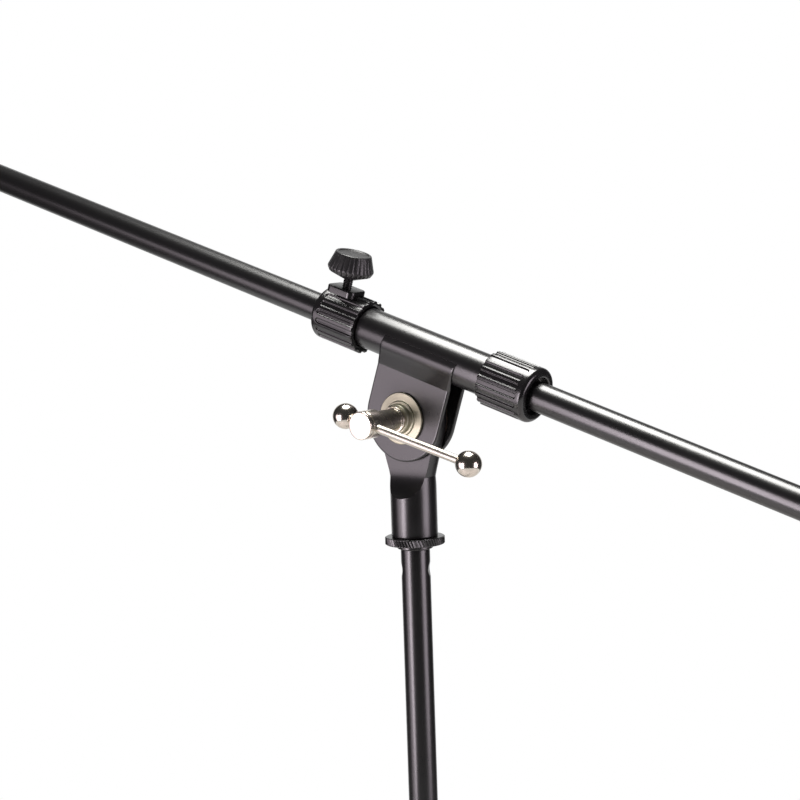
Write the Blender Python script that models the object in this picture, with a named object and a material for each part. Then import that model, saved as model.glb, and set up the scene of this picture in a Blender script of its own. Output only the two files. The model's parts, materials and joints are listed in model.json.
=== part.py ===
"""Boom microphone stand: folding tripod, two-tube mast, tilting boom clamp and sliding boom.

Units are metres and +Z is up. The origin is on the floor under the mast axis.
The boom lies in the XZ plane with its upper, microphone end towards -X.
"""

import math

import bmesh
import bpy
from mathutils import Matrix, Vector

MM = 0.001

# Fits
FIT = 0.20 * MM            # radial clearance of round parts that sit in each other
SEAT = 0.12 * MM           # gap between flat faces that bear on each other
CUT = 1.0 * MM             # how far a cutter runs past the face it opens
BEVEL = 1.0 * MM           # chamfer on heads, rods and rims
FINE_BEVEL = 0.4 * MM      # chamfer on thin edges

# Tubes
BOOM_OD = 16.0 * MM
BOOM_WALL = 1.2 * MM
BOOM_UP_REACH = 418.0 * MM     # from the clamp to the microphone end
BOOM_DOWN_REACH = 392.0 * MM   # from the clamp to the rear end
SLEEVE_OD = 22.6 * MM
SLEEVE_WALL = 1.6 * MM
SLEEVE_UP = 61.28 * MM         # from the clamp's middle to the sleeve's upper end
SLEEVE_DOWN = 66.18 * MM       # from the clamp's middle to the sleeve's lower end
UPPER_OD = 16.0 * MM
UPPER_WALL = 1.2 * MM
UPPER_LENGTH = 500.0 * MM
LOWER_OD = 22.6 * MM
LOWER_WALL = 1.6 * MM
LOWER_LENGTH = 640.0 * MM
LOWER_BOTTOM = 73.0 * MM

# Boom clamp head
PIVOT_HEIGHT = 1050.0 * MM
BOOM_TILT = math.radians(17.0)
SLEEVE_RISE = 37.8 * MM        # pivot axis to sleeve axis
TONGUE_HALF = 4.5 * MM
TONGUE_RADIUS = 21.5 * MM
DISC_THICK = 0.7 * MM
DISC_RADIUS = 20.5 * MM
PLATE_THICK = 2.5 * MM
PLATE_HALF_WIDTH = 24.7 * MM
PLATE_ROUND_RISE = 0.7 * MM        # centre of the plate's round foot above the pivot
PLATE_LEAN = math.radians(2.0)     # how far the plate leans along the sleeve
PLATE_WRAP = math.radians(17.0)    # how far the plate climbs the sleeve above its middle
PLATE_TURN = math.radians(28.0)    # where the plate leaves the sleeve below its middle
PLATE_BEND_DROP = 13.0 * MM        # sleeve axis to the lower bend
SOCKET_OD = 25.4 * MM
SOCKET_BOTTOM = -65.5 * MM
TAPER_END = -32.5 * MM         # where the tongue's tapering sides meet the round socket
FLAT_END = -27.5 * MM          # where the tongue's flat faces start to run out
RUNOUT_RADIUS = 20.0 * MM
STUD_OD = 12.0 * MM
STUD_BASE = 30.0 * MM          # stud length held inside the mast tube
STUD_HOLD = 18.0 * MM          # stud length screwed into the socket
STUD_ROOM = 2.0 * MM           # free depth beyond the stud's tip
RING_OD = 32.6 * MM
RING_BAND = 4.2 * MM
RING_NECK_OD = 19.5 * MM
RING_NECK = 2.4 * MM
RING_BEVEL = 0.8 * MM

# T-handle screw
SCREW_OD = 8.0 * MM
SCREW_TAIL = 2.0 * MM          # thread that shows behind the nut
WASHER_RADIUS = 14.2 * MM
WASHER_THICK = 1.6 * MM
BOSS_RADIUS = 8.2 * MM
BOSS_LENGTH = 4.5 * MM
NECK_RADIUS = 6.2 * MM
HEAD_RADIUS = 7.6 * MM
HEAD_NEAR = 32.5 * MM
HEAD_FACE = 45.0 * MM
BAR_OD = 4.6 * MM
BAR_OUT = 38.4 * MM            # bar axis to the middle of the clamp
BAR_DROOP = math.radians(14.9)
BALL_RADIUS = 7.0 * MM
BALL_SPACING = 82.6 * MM
BALL_HOLE_DEPTH = 9.0 * MM     # from the ball's far side to the bottom of its hole
BALL_REST_GAP = 0.5 * MM
REAR_NUT_ACROSS = 13.0 * MM
REAR_NUT_THICK = 6.5 * MM

# Ribbed collars
COLLAR_OD = 30.0 * MM
COLLAR_LENGTH = 30.0 * MM
COLLAR_RIM = 4.4 * MM          # smooth length beyond the ends of the channels
COLLAR_LIP = 9.0 * MM          # thickness of the end wall that guides the inner tube
COLLAR_ROUND = 2.6 * MM
MOUTH_GAP = 2.0 * MM           # mouth radius beyond the guiding bore
MOUTH_DEPTH = 4.0 * MM
CHANNEL_COUNT = 18
CHANNEL_WIDTH = 2.9 * MM
CHANNEL_DEPTH = 1.2 * MM

# Thumbscrews
BOSS_HALF_LENGTH = 9.2 * MM
BOSS_HALF_WIDTH = 7.2 * MM
BOSS_CORNER = 3.4 * MM
BOSS_ROOT = 1.2 * MM           # how far the boss starts outside the sleeve
BOSS_TOP = 16.9 * MM           # from the tube axis
THUMB_INSET = 19.7 * MM        # screw axis from the collar's inner end
THUMB_OD = 5.6 * MM
NUT_SIDE = 8.0 * MM
NUT_THICK = 2.6 * MM
NUT_RISE = 12.2 * MM           # nut underside from the tube axis
KNOB_UNDER = 20.8 * MM         # knob underside from the tube axis
KNOB_HEIGHT = 15.8 * MM
KNOB_NECK_RADIUS = 4.4 * MM
KNOB_SKIRT_RADIUS = 11.7 * MM
KNOB_SKIRT = 4.6 * MM          # height of the skirt above the underside
KNOB_RADIUS = 13.0 * MM
KNOB_WIDEST = 6.9 * MM         # height of the widest ring above the underside
KNOB_TOP_RADIUS = 9.9 * MM
KNOB_RIM = 1.3 * MM            # width of the raised rim round the top
KNOB_DISH = 0.5 * MM
KNOB_FLUTES = 24
KNOB_FLUTE_DEPTH = 0.8 * MM
KNOB_GRIP = 10.0 * MM          # screw length moulded into the knob

# Tripod base
HUB_OD = 46.0 * MM
HUB_FLOOR = 66.0 * MM
HUB_FLOOR_THICK = 6.0 * MM
HUB_TOP = 122.0 * MM
HUB_LIP = 3.0 * MM             # wall left at the hub's top edge
HUB_BEVEL = 2.0 * MM
LEG_COUNT = 3
LEG_OD = 16.0 * MM
LEG_WALL = 1.2 * MM
LEG_LENGTH = 340.0 * MM
LEG_TAIL = 11.0 * MM           # leg tube beyond its hinge, towards the mast
LEG_SLOPE = math.radians(15.0)
HINGE_RADIUS = 42.0 * MM
HINGE_HEIGHT = 94.0 * MM
EAR_THICK = 6.0 * MM
EAR_REACH = 11.0 * MM
EAR_ROOT = 12.0 * MM           # ear half height where it meets the hub
HINGE_OD = 6.0 * MM
HINGE_HEAD_RADIUS = 6.0 * MM
HINGE_HEAD_THICK = 4.0 * MM
HINGE_NUT_ACROSS = 10.0 * MM
HINGE_NUT_THICK = 5.0 * MM
HINGE_TAIL = 1.0 * MM          # thread that shows beyond the nut
FOOT_WALL = 2.6 * MM
FOOT_LENGTH = 40.0 * MM
FOOT_END = 4.0 * MM
FOOT_BEVEL = 1.5 * MM
PLUG_LENGTH = 30.0 * MM
BASE_BOLT_OD = 8.0 * MM
BASE_BOLT_HEAD_RADIUS = 8.0 * MM
BASE_BOLT_HEAD_THICK = 5.0 * MM
BASE_BOLT_GRIP = 28.0 * MM
BUSH_LENGTH = 12.0 * MM
BUSH_WALL = 2.0 * MM

# Boom ends
CAP_WALL = 2.0 * MM
CAP_LENGTH = 24.0 * MM
CAP_END = 3.0 * MM
CAP_BEVEL = 1.6 * MM
CAP_LIP_BEVEL = 0.8 * MM
MIC_THREAD_OD = 15.2 * MM
MIC_THREAD_LENGTH = 12.0 * MM
MIC_FLANGE_OD = 19.0 * MM
MIC_FLANGE_THICK = 3.5 * MM
MIC_PLUG_LENGTH = 16.0 * MM

# Crimped dimples that hold the stud in the top of the mast
DIMPLE_DROP = 84.0 * MM        # below the pivot
DIMPLE_HEADING = math.radians(30.0)
DIMPLE_RADIUS = 3.0 * MM
DIMPLE_DEPTH = 0.9 * MM

# Facets round a full turn
FINE = 24
COARSE = 16
RIBBED = 36

for old in list(bpy.data.objects):
    bpy.data.objects.remove(old, do_unlink=True)

X = Vector((1.0, 0.0, 0.0))
Y = Vector((0.0, 1.0, 0.0))
Z = Vector((0.0, 0.0, 1.0))


def finish(name, colour, roughness, metallic):
    """A Principled material in one plain colour."""
    material = bpy.data.materials.new(name)
    material.use_nodes = True
    shader = material.node_tree.nodes["Principled BSDF"]
    shader.inputs["Base Color"].default_value = (*colour, 1.0)
    shader.inputs["Roughness"].default_value = roughness
    shader.inputs["Metallic"].default_value = metallic
    return material


BLACK_COAT = finish("satin_black_coat", (0.018, 0.017, 0.018), 0.42, 0.0)
BLACK_PLASTIC = finish("gloss_black_plastic", (0.012, 0.012, 0.012), 0.28, 0.0)
NICKEL = finish("nickel_plate", (0.72, 0.66, 0.58), 0.16, 1.0)
BARE_STEEL = finish("zinc_plated_steel", (0.62, 0.62, 0.61), 0.30, 1.0)
RUBBER = finish("black_rubber", (0.02, 0.02, 0.02), 0.75, 0.0)
NYLON = finish("grey_nylon", (0.16, 0.16, 0.16), 0.5, 0.0)
FIBRE = finish("fibre_board", (0.17, 0.10, 0.06), 0.8, 0.0)
CAST_BLACK = finish("black_cast_zinc", (0.02, 0.02, 0.02), 0.5, 0.0)


def frame_at(origin, along, side):
    """Matrix whose local Z runs along one direction and whose local X points near another."""
    z_axis = along.normalized()
    y_axis = z_axis.cross(side).normalized()
    x_axis = y_axis.cross(z_axis)
    return Matrix.Translation(origin) @ Matrix((x_axis, y_axis, z_axis)).transposed().to_4x4()


def hold(obj, place, parent):
    """Link an object at its place, under the empty that carries it."""
    bpy.context.scene.collection.objects.link(obj)
    obj.matrix_world = place
    if parent:
        obj.parent = parent
        obj.matrix_parent_inverse = parent.matrix_world.inverted()
    return obj


def add(mesh_data, material, place, parent=None):
    """Add one piece, named like its mesh."""
    mesh_data.materials.append(material)
    return hold(bpy.data.objects.new(mesh_data.name, mesh_data), place, parent)


def add_axis(name, place, parent=None):
    """An empty on a joint's axis."""
    empty = hold(bpy.data.objects.new(name, None), place, parent)
    bpy.context.view_layer.update()
    return empty


def to_mesh(name, bm, smooth_angle=35.0):
    bmesh.ops.remove_doubles(bm, verts=bm.verts, dist=1e-7)
    bmesh.ops.recalc_face_normals(bm, faces=bm.faces)
    mesh_data = bpy.data.meshes.new(name)
    bm.to_mesh(mesh_data)
    bm.free()
    mesh_data.shade_smooth()
    mesh_data.set_sharp_from_angle(angle=math.radians(smooth_angle))
    return mesh_data


def turned(name, profile, steps=FINE):
    """Spin a closed outline of (radius, height) points about the local Z axis."""
    bm = bmesh.new()
    points = [bm.verts.new((r, 0.0, z)) for r, z in profile]
    edges = []
    for i, first in enumerate(points):
        second = points[(i + 1) % len(points)]
        if first.co.x > 0.0 or second.co.x > 0.0:
            edges.append(bm.edges.new((first, second)))
    bmesh.ops.spin(bm, geom=points + edges, cent=(0, 0, 0), axis=(0, 0, 1),
                   angle=2 * math.pi, steps=steps, use_merge=True)
    loose = [v for v in bm.verts if not v.link_faces]
    bmesh.ops.delete(bm, geom=loose, context='VERTS')
    return to_mesh(name, bm)


def pipe(name, outer, inner, low, high):
    return turned(name, [(outer, low), (outer, high), (inner, high), (inner, low)])


def rod(name, radius, low, high, edge=0.0):
    profile = [(0.0, low), (radius, low), (radius, high), (0.0, high)]
    if edge > 0.0:
        profile = [(0.0, low), (radius - edge, low), (radius, low + edge),
                   (radius, high - edge), (radius - edge, high), (0.0, high)]
    return turned(name, profile, COARSE)


def extruded(name, outline, low, high):
    """Extrude a closed outline of (x, y) points along local Z."""
    bm = bmesh.new()
    face = bm.faces.new([bm.verts.new((x, y, low)) for x, y in outline])
    grown = bmesh.ops.extrude_face_region(bm, geom=[face])
    top = [v for v in grown["geom"] if isinstance(v, bmesh.types.BMVert)]
    bmesh.ops.translate(bm, verts=top, vec=(0, 0, high - low))
    return to_mesh(name, bm)


def arc(centre, radius, start, stop, count):
    """Points of an arc, ends included."""
    angles = [start + (stop - start) * i / count for i in range(count + 1)]
    return [(centre[0] + radius * math.cos(a), centre[1] + radius * math.sin(a)) for a in angles]


def hexagon(across):
    return arc((0.0, 0.0), across / math.sqrt(3.0), 0.0, 5 * math.pi / 3, 5)


def square(half):
    return [(-half, -half), (half, -half), (half, half), (-half, half)]


def combine(obj, helper_mesh, place, operation):
    """Join or cut with a helper solid that is not itself a piece."""
    helper = hold(bpy.data.objects.new(helper_mesh.name, helper_mesh), place, obj.parent)
    helper.hide_render = True
    helper.display_type = 'WIRE'
    modifier = obj.modifiers.new(helper.name, 'BOOLEAN')
    modifier.operation = operation
    modifier.solver = 'EXACT'
    modifier.object = helper


def drill(obj, label, radius, low, high, place):
    combine(obj, rod(label, radius, low, high), place, 'DIFFERENCE')


# Joint axes of the clamp head
mast_axis = Matrix.Identity(4)
pivot_point = Z * PIVOT_HEIGHT
boom_along = X * math.cos(BOOM_TILT) - Z * math.sin(BOOM_TILT)
boom_up = X * math.sin(BOOM_TILT) + Z * math.cos(BOOM_TILT)
clamp_middle = pivot_point + boom_up * SLEEVE_RISE
clamp_front = -Y

# The clamp's frames: Z along the boom with X up, and Z out of the front plate with X along the boom
along_boom = frame_at(clamp_middle, boom_along, boom_up)
out_of_clamp = frame_at(pivot_point, clamp_front, boom_along)

upper_empty = add_axis("upper_mast_axis", mast_axis)
swivel_empty = add_axis("swivel_axis", Matrix.Translation(pivot_point), upper_empty)
tilt_empty = add_axis("tilt_axis", out_of_clamp, swivel_empty)
boom_empty = add_axis("boom_axis", along_boom, tilt_empty)
handle_empty = add_axis("handle_axis", out_of_clamp, tilt_empty)

boom_radius = BOOM_OD / 2
sleeve_radius = SLEEVE_OD / 2
plate_in = TONGUE_HALF + SEAT + DISC_THICK + SEAT
plate_out = plate_in + PLATE_THICK

# Ribbed collar with a guiding end wall, built along local Z from its inner, open end at zero
collar_radius = COLLAR_OD / 2
collar_shoulder = COLLAR_LENGTH - COLLAR_LIP


def collar_mesh(name, outer_tube, inner_bore):
    mouth = inner_bore + MOUTH_GAP
    mouth_floor = COLLAR_LENGTH - MOUTH_DEPTH
    profile = [(outer_tube + FIT, 0.0), (collar_radius - FINE_BEVEL, 0.0), (collar_radius, FINE_BEVEL)]
    profile += arc((collar_radius - COLLAR_ROUND, COLLAR_LENGTH - COLLAR_ROUND), COLLAR_ROUND,
                   0.0, math.pi / 2, 3)
    profile += [(mouth, COLLAR_LENGTH), (mouth, mouth_floor), (inner_bore, mouth_floor),
                (inner_bore, collar_shoulder), (outer_tube + FIT, collar_shoulder)]
    return turned(name, profile, RIBBED)


def channel_mesh(name):
    """The lengthwise channels between a collar's lands, as one set of cutters."""
    bm = bmesh.new()
    half = CHANNEL_WIDTH / 2
    floor = collar_radius - CHANNEL_DEPTH
    tip = COLLAR_LENGTH - COLLAR_RIM
    outline = [(-half, -CUT), (half, -CUT)] + arc((0.0, tip - half), half, 0.0, math.pi, 2)
    for i in range(CHANNEL_COUNT):
        turn = Matrix.Rotation(2 * math.pi * (i + 0.5) / CHANNEL_COUNT, 4, 'Z')
        face = bm.faces.new([bm.verts.new(turn @ Vector((floor, y, z))) for y, z in outline])
        grown = bmesh.ops.extrude_face_region(bm, geom=[face])
        top = [v for v in grown["geom"] if isinstance(v, bmesh.types.BMVert)]
        bmesh.ops.translate(bm, verts=top, vec=turn.to_3x3() @ X * (CHANNEL_DEPTH + CUT))
    return to_mesh(name, bm)


def ribbed_collar(name, place, outer_tube, inner_bore, parent=None):
    collar = add(collar_mesh(name, outer_tube, inner_bore), BLACK_PLASTIC, place, parent)
    combine(collar, channel_mesh(name + "_channels"), place, 'DIFFERENCE')
    return collar


def knob_mesh(name):
    """Tapered hand knob with a conical underside, flutes round its grip and a blind hole for the screw."""
    steps = KNOB_FLUTES * 2
    top = KNOB_UNDER + KNOB_HEIGHT
    hole = THUMB_OD / 2 + FIT / 2
    # Radius, height and share of the flute's depth
    rings = [(hole, KNOB_UNDER + KNOB_GRIP + FIT, 0.0), (hole, KNOB_UNDER, 0.0),
             (KNOB_NECK_RADIUS, KNOB_UNDER, 0.0), (KNOB_SKIRT_RADIUS, KNOB_UNDER + KNOB_SKIRT, 1.0),
             (KNOB_RADIUS, KNOB_UNDER + KNOB_WIDEST, 1.0), (KNOB_TOP_RADIUS, top - KNOB_DISH, 0.5),
             (KNOB_TOP_RADIUS - KNOB_DISH, top, 0.0), (KNOB_TOP_RADIUS - KNOB_RIM, top, 0.0),
             (KNOB_TOP_RADIUS - KNOB_RIM - KNOB_DISH, top - KNOB_DISH, 0.0)]
    bm = bmesh.new()
    loops = []
    for radius, height, flute in rings:
        loop = []
        for i in range(steps):
            angle = 2 * math.pi * i / steps
            r = radius - KNOB_FLUTE_DEPTH * flute * (i % 2)
            loop.append(bm.verts.new((r * math.cos(angle), r * math.sin(angle), height)))
        loops.append(loop)
    for inner, outer in zip(loops, loops[1:]):
        for i in range(steps):
            bm.faces.new((inner[i], inner[(i + 1) % steps], outer[(i + 1) % steps], outer[i]))
    bm.faces.new(loops[0])
    bm.faces.new(loops[-1])
    return to_mesh(name, bm)


def boss_outline():
    """Oblong with rounded corners, long side on local X."""
    flat_x = BOSS_HALF_LENGTH - BOSS_CORNER
    flat_y = BOSS_HALF_WIDTH - BOSS_CORNER
    corners = [(flat_x, -flat_y), (flat_x, flat_y), (-flat_x, flat_y), (-flat_x, -flat_y)]
    outline = []
    for quarter, corner in enumerate(corners):
        start = (quarter - 1) * math.pi / 2
        outline += arc(corner, BOSS_CORNER, start, start + math.pi / 2, 3)
    return outline


def thumb_clamp(prefix, collar, tube, seat, tube_radius, turn_empty):
    """Boss, captive nut, thumbscrew and knob on a collar. The seat's local Z points out of the tube."""
    hole = THUMB_OD / 2 + FIT
    nut_top = NUT_RISE + NUT_THICK
    root = sleeve_radius + BOSS_ROOT
    combine(collar, extruded(prefix + "_boss", boss_outline(), root, BOSS_TOP), seat, 'UNION')
    drill(collar, prefix + "_hole", hole, tube_radius, BOSS_TOP + CUT, seat)
    drill(tube, prefix + "_tube_hole", hole, tube_radius, BOSS_TOP + CUT, seat)
    pocket = extruded(prefix + "_pocket", square(NUT_SIDE / 2 + FIT), tube_radius, nut_top + FIT)
    combine(collar, pocket, seat, 'DIFFERENCE')
    nut_mesh = extruded(prefix + "_nut", square(NUT_SIDE / 2), NUT_RISE, nut_top)
    nut = add(nut_mesh, BARE_STEEL, seat, collar.parent)
    drill(nut, prefix + "_nut_bore", THUMB_OD / 2 + FIT / 2, NUT_RISE - CUT, nut_top + CUT, seat)
    screw = rod(prefix + "_thumbscrew", THUMB_OD / 2, tube_radius + SEAT, KNOB_UNDER + KNOB_GRIP, FINE_BEVEL)
    add(screw, BLACK_COAT, seat, turn_empty)
    add(knob_mesh(prefix + "_knob"), BLACK_PLASTIC, seat, turn_empty)


# Tripod base: cast hub with three pairs of ears
hub_bore = LOWER_OD / 2 + FIT
bolt_bore = BASE_BOLT_OD / 2 + FIT
hub_inside = HUB_FLOOR + HUB_FLOOR_THICK
hub = add(turned("base_hub", [
    (bolt_bore, HUB_FLOOR), (HUB_OD / 2 - HUB_BEVEL, HUB_FLOOR), (HUB_OD / 2, HUB_FLOOR + HUB_BEVEL),
    (HUB_OD / 2, HINGE_HEIGHT + EAR_ROOT), (hub_bore + HUB_LIP + BEVEL, HUB_TOP - BEVEL),
    (hub_bore + HUB_LIP, HUB_TOP), (hub_bore, HUB_TOP), (hub_bore, hub_inside), (bolt_bore, hub_inside)],
    RIBBED), CAST_BLACK, mast_axis)

ear_inner = LEG_OD / 2 + FIT
ear_outer = ear_inner + EAR_THICK
ear_start = hub_bore + HUB_LIP
ear_outline = [(ear_start, -EAR_ROOT)]
ear_outline += arc((HINGE_RADIUS, 0.0), EAR_REACH, -math.pi / 2, math.pi / 2, 8)
ear_outline += [(ear_start, EAR_ROOT)]
hinge_hole = HINGE_OD / 2 + FIT
hinge_face = ear_outer + SEAT
hinge_far = hinge_face + HINGE_NUT_THICK
leg_tip = LEG_LENGTH - LEG_TAIL
foot_bore = LEG_OD / 2 + FIT
foot_radius = foot_bore + FOOT_WALL
foot_tip = leg_tip + FOOT_END
foot_top = foot_tip - FOOT_LENGTH

for leg_number in range(LEG_COUNT):
    tag = str(leg_number + 1)
    heading = 2 * math.pi * leg_number / LEG_COUNT
    outward = X * math.cos(heading) + Y * math.sin(heading)
    hinge_point = outward * HINGE_RADIUS + Z * HINGE_HEIGHT
    # Local X outward, local Y up and local Z across the leg
    bolt_frame = frame_at(hinge_point, outward.cross(Z), outward)
    ear_frame = bolt_frame.copy()
    ear_frame.translation = Z * HINGE_HEIGHT
    for label, side in (("left", -1), ("right", 1)):
        low, high = sorted((side * ear_inner, side * ear_outer))
        ear = extruded("hub_ear_" + tag + "_" + label, ear_outline, low, high)
        combine(hub, ear, ear_frame, 'UNION')
    drill(hub, "hub_ear_hole_" + tag, hinge_hole, -ear_outer - CUT, ear_outer + CUT, bolt_frame)

    leg_empty = add_axis("leg_axis_" + tag, bolt_frame)
    leg_frame = frame_at(hinge_point, outward * math.cos(LEG_SLOPE) - Z * math.sin(LEG_SLOPE), Z)
    leg_mesh = pipe("leg_tube_" + tag, LEG_OD / 2, LEG_OD / 2 - LEG_WALL, -LEG_TAIL, leg_tip)
    leg = add(leg_mesh, BLACK_COAT, leg_frame, leg_empty)
    drill(leg, "leg_hole_" + tag, hinge_hole, -ear_outer, ear_outer, bolt_frame)
    foot = add(turned("foot_" + tag, [
        (0.0, leg_tip + SEAT), (foot_bore, leg_tip + SEAT), (foot_bore, foot_top),
        (foot_radius - BEVEL, foot_top), (foot_radius, foot_top + BEVEL),
        (foot_radius, foot_tip - FOOT_BEVEL), (foot_radius - FOOT_BEVEL, foot_tip), (0.0, foot_tip)]),
        RUBBER, leg_frame, leg_empty)
    floor_cut = extruded("foot_floor_" + tag, square(foot_tip * 2), -foot_radius * 2, 0.0)
    combine(foot, floor_cut, mast_axis, 'DIFFERENCE')

    add(turned("leg_bolt_" + tag, [
        (0.0, -hinge_face - HINGE_HEAD_THICK), (HINGE_HEAD_RADIUS - BEVEL, -hinge_face - HINGE_HEAD_THICK),
        (HINGE_HEAD_RADIUS, -hinge_face - HINGE_HEAD_THICK + BEVEL), (HINGE_HEAD_RADIUS, -hinge_face),
        (HINGE_OD / 2, -hinge_face), (HINGE_OD / 2, hinge_far + HINGE_TAIL), (0.0, hinge_far + HINGE_TAIL)],
        COARSE), BARE_STEEL, bolt_frame)
    leg_nut_mesh = extruded("leg_nut_" + tag, hexagon(HINGE_NUT_ACROSS), hinge_face, hinge_far)
    leg_nut = add(leg_nut_mesh, BARE_STEEL, bolt_frame)
    nut_bore = HINGE_OD / 2 + FIT / 2
    drill(leg_nut, "leg_nut_bore_" + tag, nut_bore, hinge_face - CUT, hinge_far + CUT, bolt_frame)

# Lower mast tube on its plug and bolt
lower_top = LOWER_BOTTOM + LOWER_LENGTH
lower_bore = LOWER_OD / 2 - LOWER_WALL
lower_mesh = pipe("lower_mast_tube", LOWER_OD / 2, lower_bore, LOWER_BOTTOM, lower_top)
lower_tube = add(lower_mesh, BLACK_COAT, mast_axis)
plug_low = hub_inside + SEAT
plug_mesh = pipe("mast_plug", lower_bore - FIT, BASE_BOLT_OD / 2 + FIT / 2, plug_low, plug_low + PLUG_LENGTH)
add(plug_mesh, BARE_STEEL, mast_axis)
bolt_seat = HUB_FLOOR - SEAT
bolt_under = bolt_seat - BASE_BOLT_HEAD_THICK
add(turned("base_bolt", [
    (0.0, bolt_under), (BASE_BOLT_HEAD_RADIUS - BEVEL, bolt_under),
    (BASE_BOLT_HEAD_RADIUS, bolt_under + BEVEL), (BASE_BOLT_HEAD_RADIUS, bolt_seat),
    (BASE_BOLT_OD / 2, bolt_seat),
    (BASE_BOLT_OD / 2, bolt_seat + BASE_BOLT_GRIP), (0.0, bolt_seat + BASE_BOLT_GRIP)],
    COARSE), BARE_STEEL, mast_axis)

# Height clamp on top of the lower tube
upper_radius = UPPER_OD / 2
height_collar_base = lower_top + SEAT - collar_shoulder
height_place = Matrix.Translation(Z * height_collar_base)
height_collar = ribbed_collar("height_collar", height_place, LOWER_OD / 2, upper_radius + FIT)
height_seat = frame_at(Z * (height_collar_base + THUMB_INSET), -Y, Z)
height_turn = add_axis("height_thumbscrew_axis", height_seat)
thumb_clamp("height", height_collar, lower_tube, height_seat, upper_radius, height_turn)

# Upper mast tube with its sliding bush and threaded stud
ring_top = PIVOT_HEIGHT + SOCKET_BOTTOM - SEAT
ring_step = ring_top - RING_BAND
ring_low = ring_step - RING_NECK
upper_top = ring_low - SEAT
upper_bottom = upper_top - UPPER_LENGTH
upper_bore = upper_radius - UPPER_WALL
upper_mesh = pipe("upper_mast_tube", upper_radius, upper_bore, upper_bottom, upper_top)
upper_tube = add(upper_mesh, BLACK_COAT, mast_axis, upper_empty)
dimple_reach = upper_radius - DIMPLE_DEPTH + DIMPLE_RADIUS
for label, turn in (("near", 0.0), ("far", math.pi)):
    angle = DIMPLE_HEADING + turn
    dimple_at = Vector((math.cos(angle), math.sin(angle), 0.0)) * dimple_reach
    dimple_at.z = PIVOT_HEIGHT - DIMPLE_DROP
    bm = bmesh.new()
    bmesh.ops.create_uvsphere(bm, u_segments=12, v_segments=6, radius=DIMPLE_RADIUS)
    combine(upper_tube, to_mesh("crimp_" + label, bm), Matrix.Translation(dimple_at), 'DIFFERENCE')
bush_top = upper_bottom + BUSH_LENGTH
bush_flange = upper_bottom - SEAT
bush_low = bush_flange - BUSH_LENGTH / 2
bush_radius = upper_bore - FIT
add(turned("upper_tube_bush", [
    (bush_radius, bush_top), (bush_radius, bush_flange), (lower_bore - FIT, bush_flange),
    (lower_bore - FIT, bush_low), (bush_radius - BUSH_WALL, bush_low), (bush_radius - BUSH_WALL, bush_top)]),
    NYLON, mast_axis, upper_empty)
stud_radius = STUD_OD / 2
stud_low = upper_top - STUD_BASE
stud_high = ring_top + STUD_HOLD
add(turned("mast_stud", [
    (0.0, stud_low), (upper_bore - FIT, stud_low), (upper_bore - FIT, upper_top), (stud_radius, upper_top),
    (stud_radius, stud_high - BEVEL), (stud_radius - BEVEL, stud_high), (0.0, stud_high)]),
    BARE_STEEL, mast_axis, upper_empty)
thread_bore = stud_radius + FIT
ring_empty = add_axis("lock_ring_axis", Matrix.Translation(Z * ring_low), upper_empty)
add(turned("lock_ring", [
    (thread_bore, ring_low), (RING_NECK_OD / 2, ring_low), (RING_NECK_OD / 2, ring_step),
    (RING_OD / 2 - RING_BEVEL, ring_step), (RING_OD / 2, ring_step + RING_BEVEL),
    (RING_OD / 2, ring_top - RING_BEVEL), (RING_OD / 2 - RING_BEVEL, ring_top), (thread_bore, ring_top)],
    RIBBED), BLACK_COAT, mast_axis, ring_empty)

# Swivel socket: round below, milled down to a flat tongue round the pivot
socket_radius = SOCKET_OD / 2
socket_frame = Matrix.Translation(pivot_point)
socket_top = (FLAT_END + TAPER_END) / 2
thread_top = SOCKET_BOTTOM + STUD_HOLD + STUD_ROOM
socket = add(turned("swivel_socket", [
    (thread_bore, SOCKET_BOTTOM), (socket_radius - BEVEL, SOCKET_BOTTOM),
    (socket_radius, SOCKET_BOTTOM + BEVEL), (socket_radius, socket_top), (0.0, socket_top),
    (0.0, thread_top), (thread_bore, thread_top)],
    RIBBED), BLACK_COAT, socket_frame, swivel_empty)
# In this frame local X is the mast's side, local Y is up and local Z is out of the front plate
tongue_frame = frame_at(pivot_point, clamp_front, X)
tongue_waist = socket_radius - SEAT
taper = math.atan2(TONGUE_RADIUS - tongue_waist, -TAPER_END)
tongue_root = socket_top - TONGUE_HALF * 2
tongue_outline = arc((0.0, 0.0), TONGUE_RADIUS, -taper, math.pi + taper, 22)
tongue_outline += [(-tongue_waist, TAPER_END), (-tongue_waist, tongue_root),
                   (tongue_waist, tongue_root), (tongue_waist, TAPER_END)]
combine(socket, extruded("tongue", tongue_outline, -TONGUE_HALF, TONGUE_HALF), tongue_frame, 'UNION')
scoop_reach = SOCKET_OD * 2
for label, side in (("front", 1), ("rear", -1)):
    # Outline across the tongue: flat face above, concave run-out below; local X out and local Y up
    scoop = [(TONGUE_HALF, scoop_reach), (TONGUE_HALF, 0.0)]
    scoop += arc((TONGUE_HALF + RUNOUT_RADIUS, 0.0), RUNOUT_RADIUS, math.pi, 1.5 * math.pi, 10)[1:]
    scoop += [(scoop_reach, -RUNOUT_RADIUS), (scoop_reach, scoop_reach)]
    scoop_frame = frame_at(pivot_point + Z * FLAT_END, X * -side, clamp_front * side)
    scoop_mesh = extruded("tongue_face_" + label, scoop, -scoop_reach, scoop_reach)
    combine(socket, scoop_mesh, scoop_frame, 'DIFFERENCE')
clamp_bore = SCREW_OD / 2 + FIT
drill(socket, "tongue_bore", clamp_bore, -scoop_reach, scoop_reach, tongue_frame)

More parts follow.
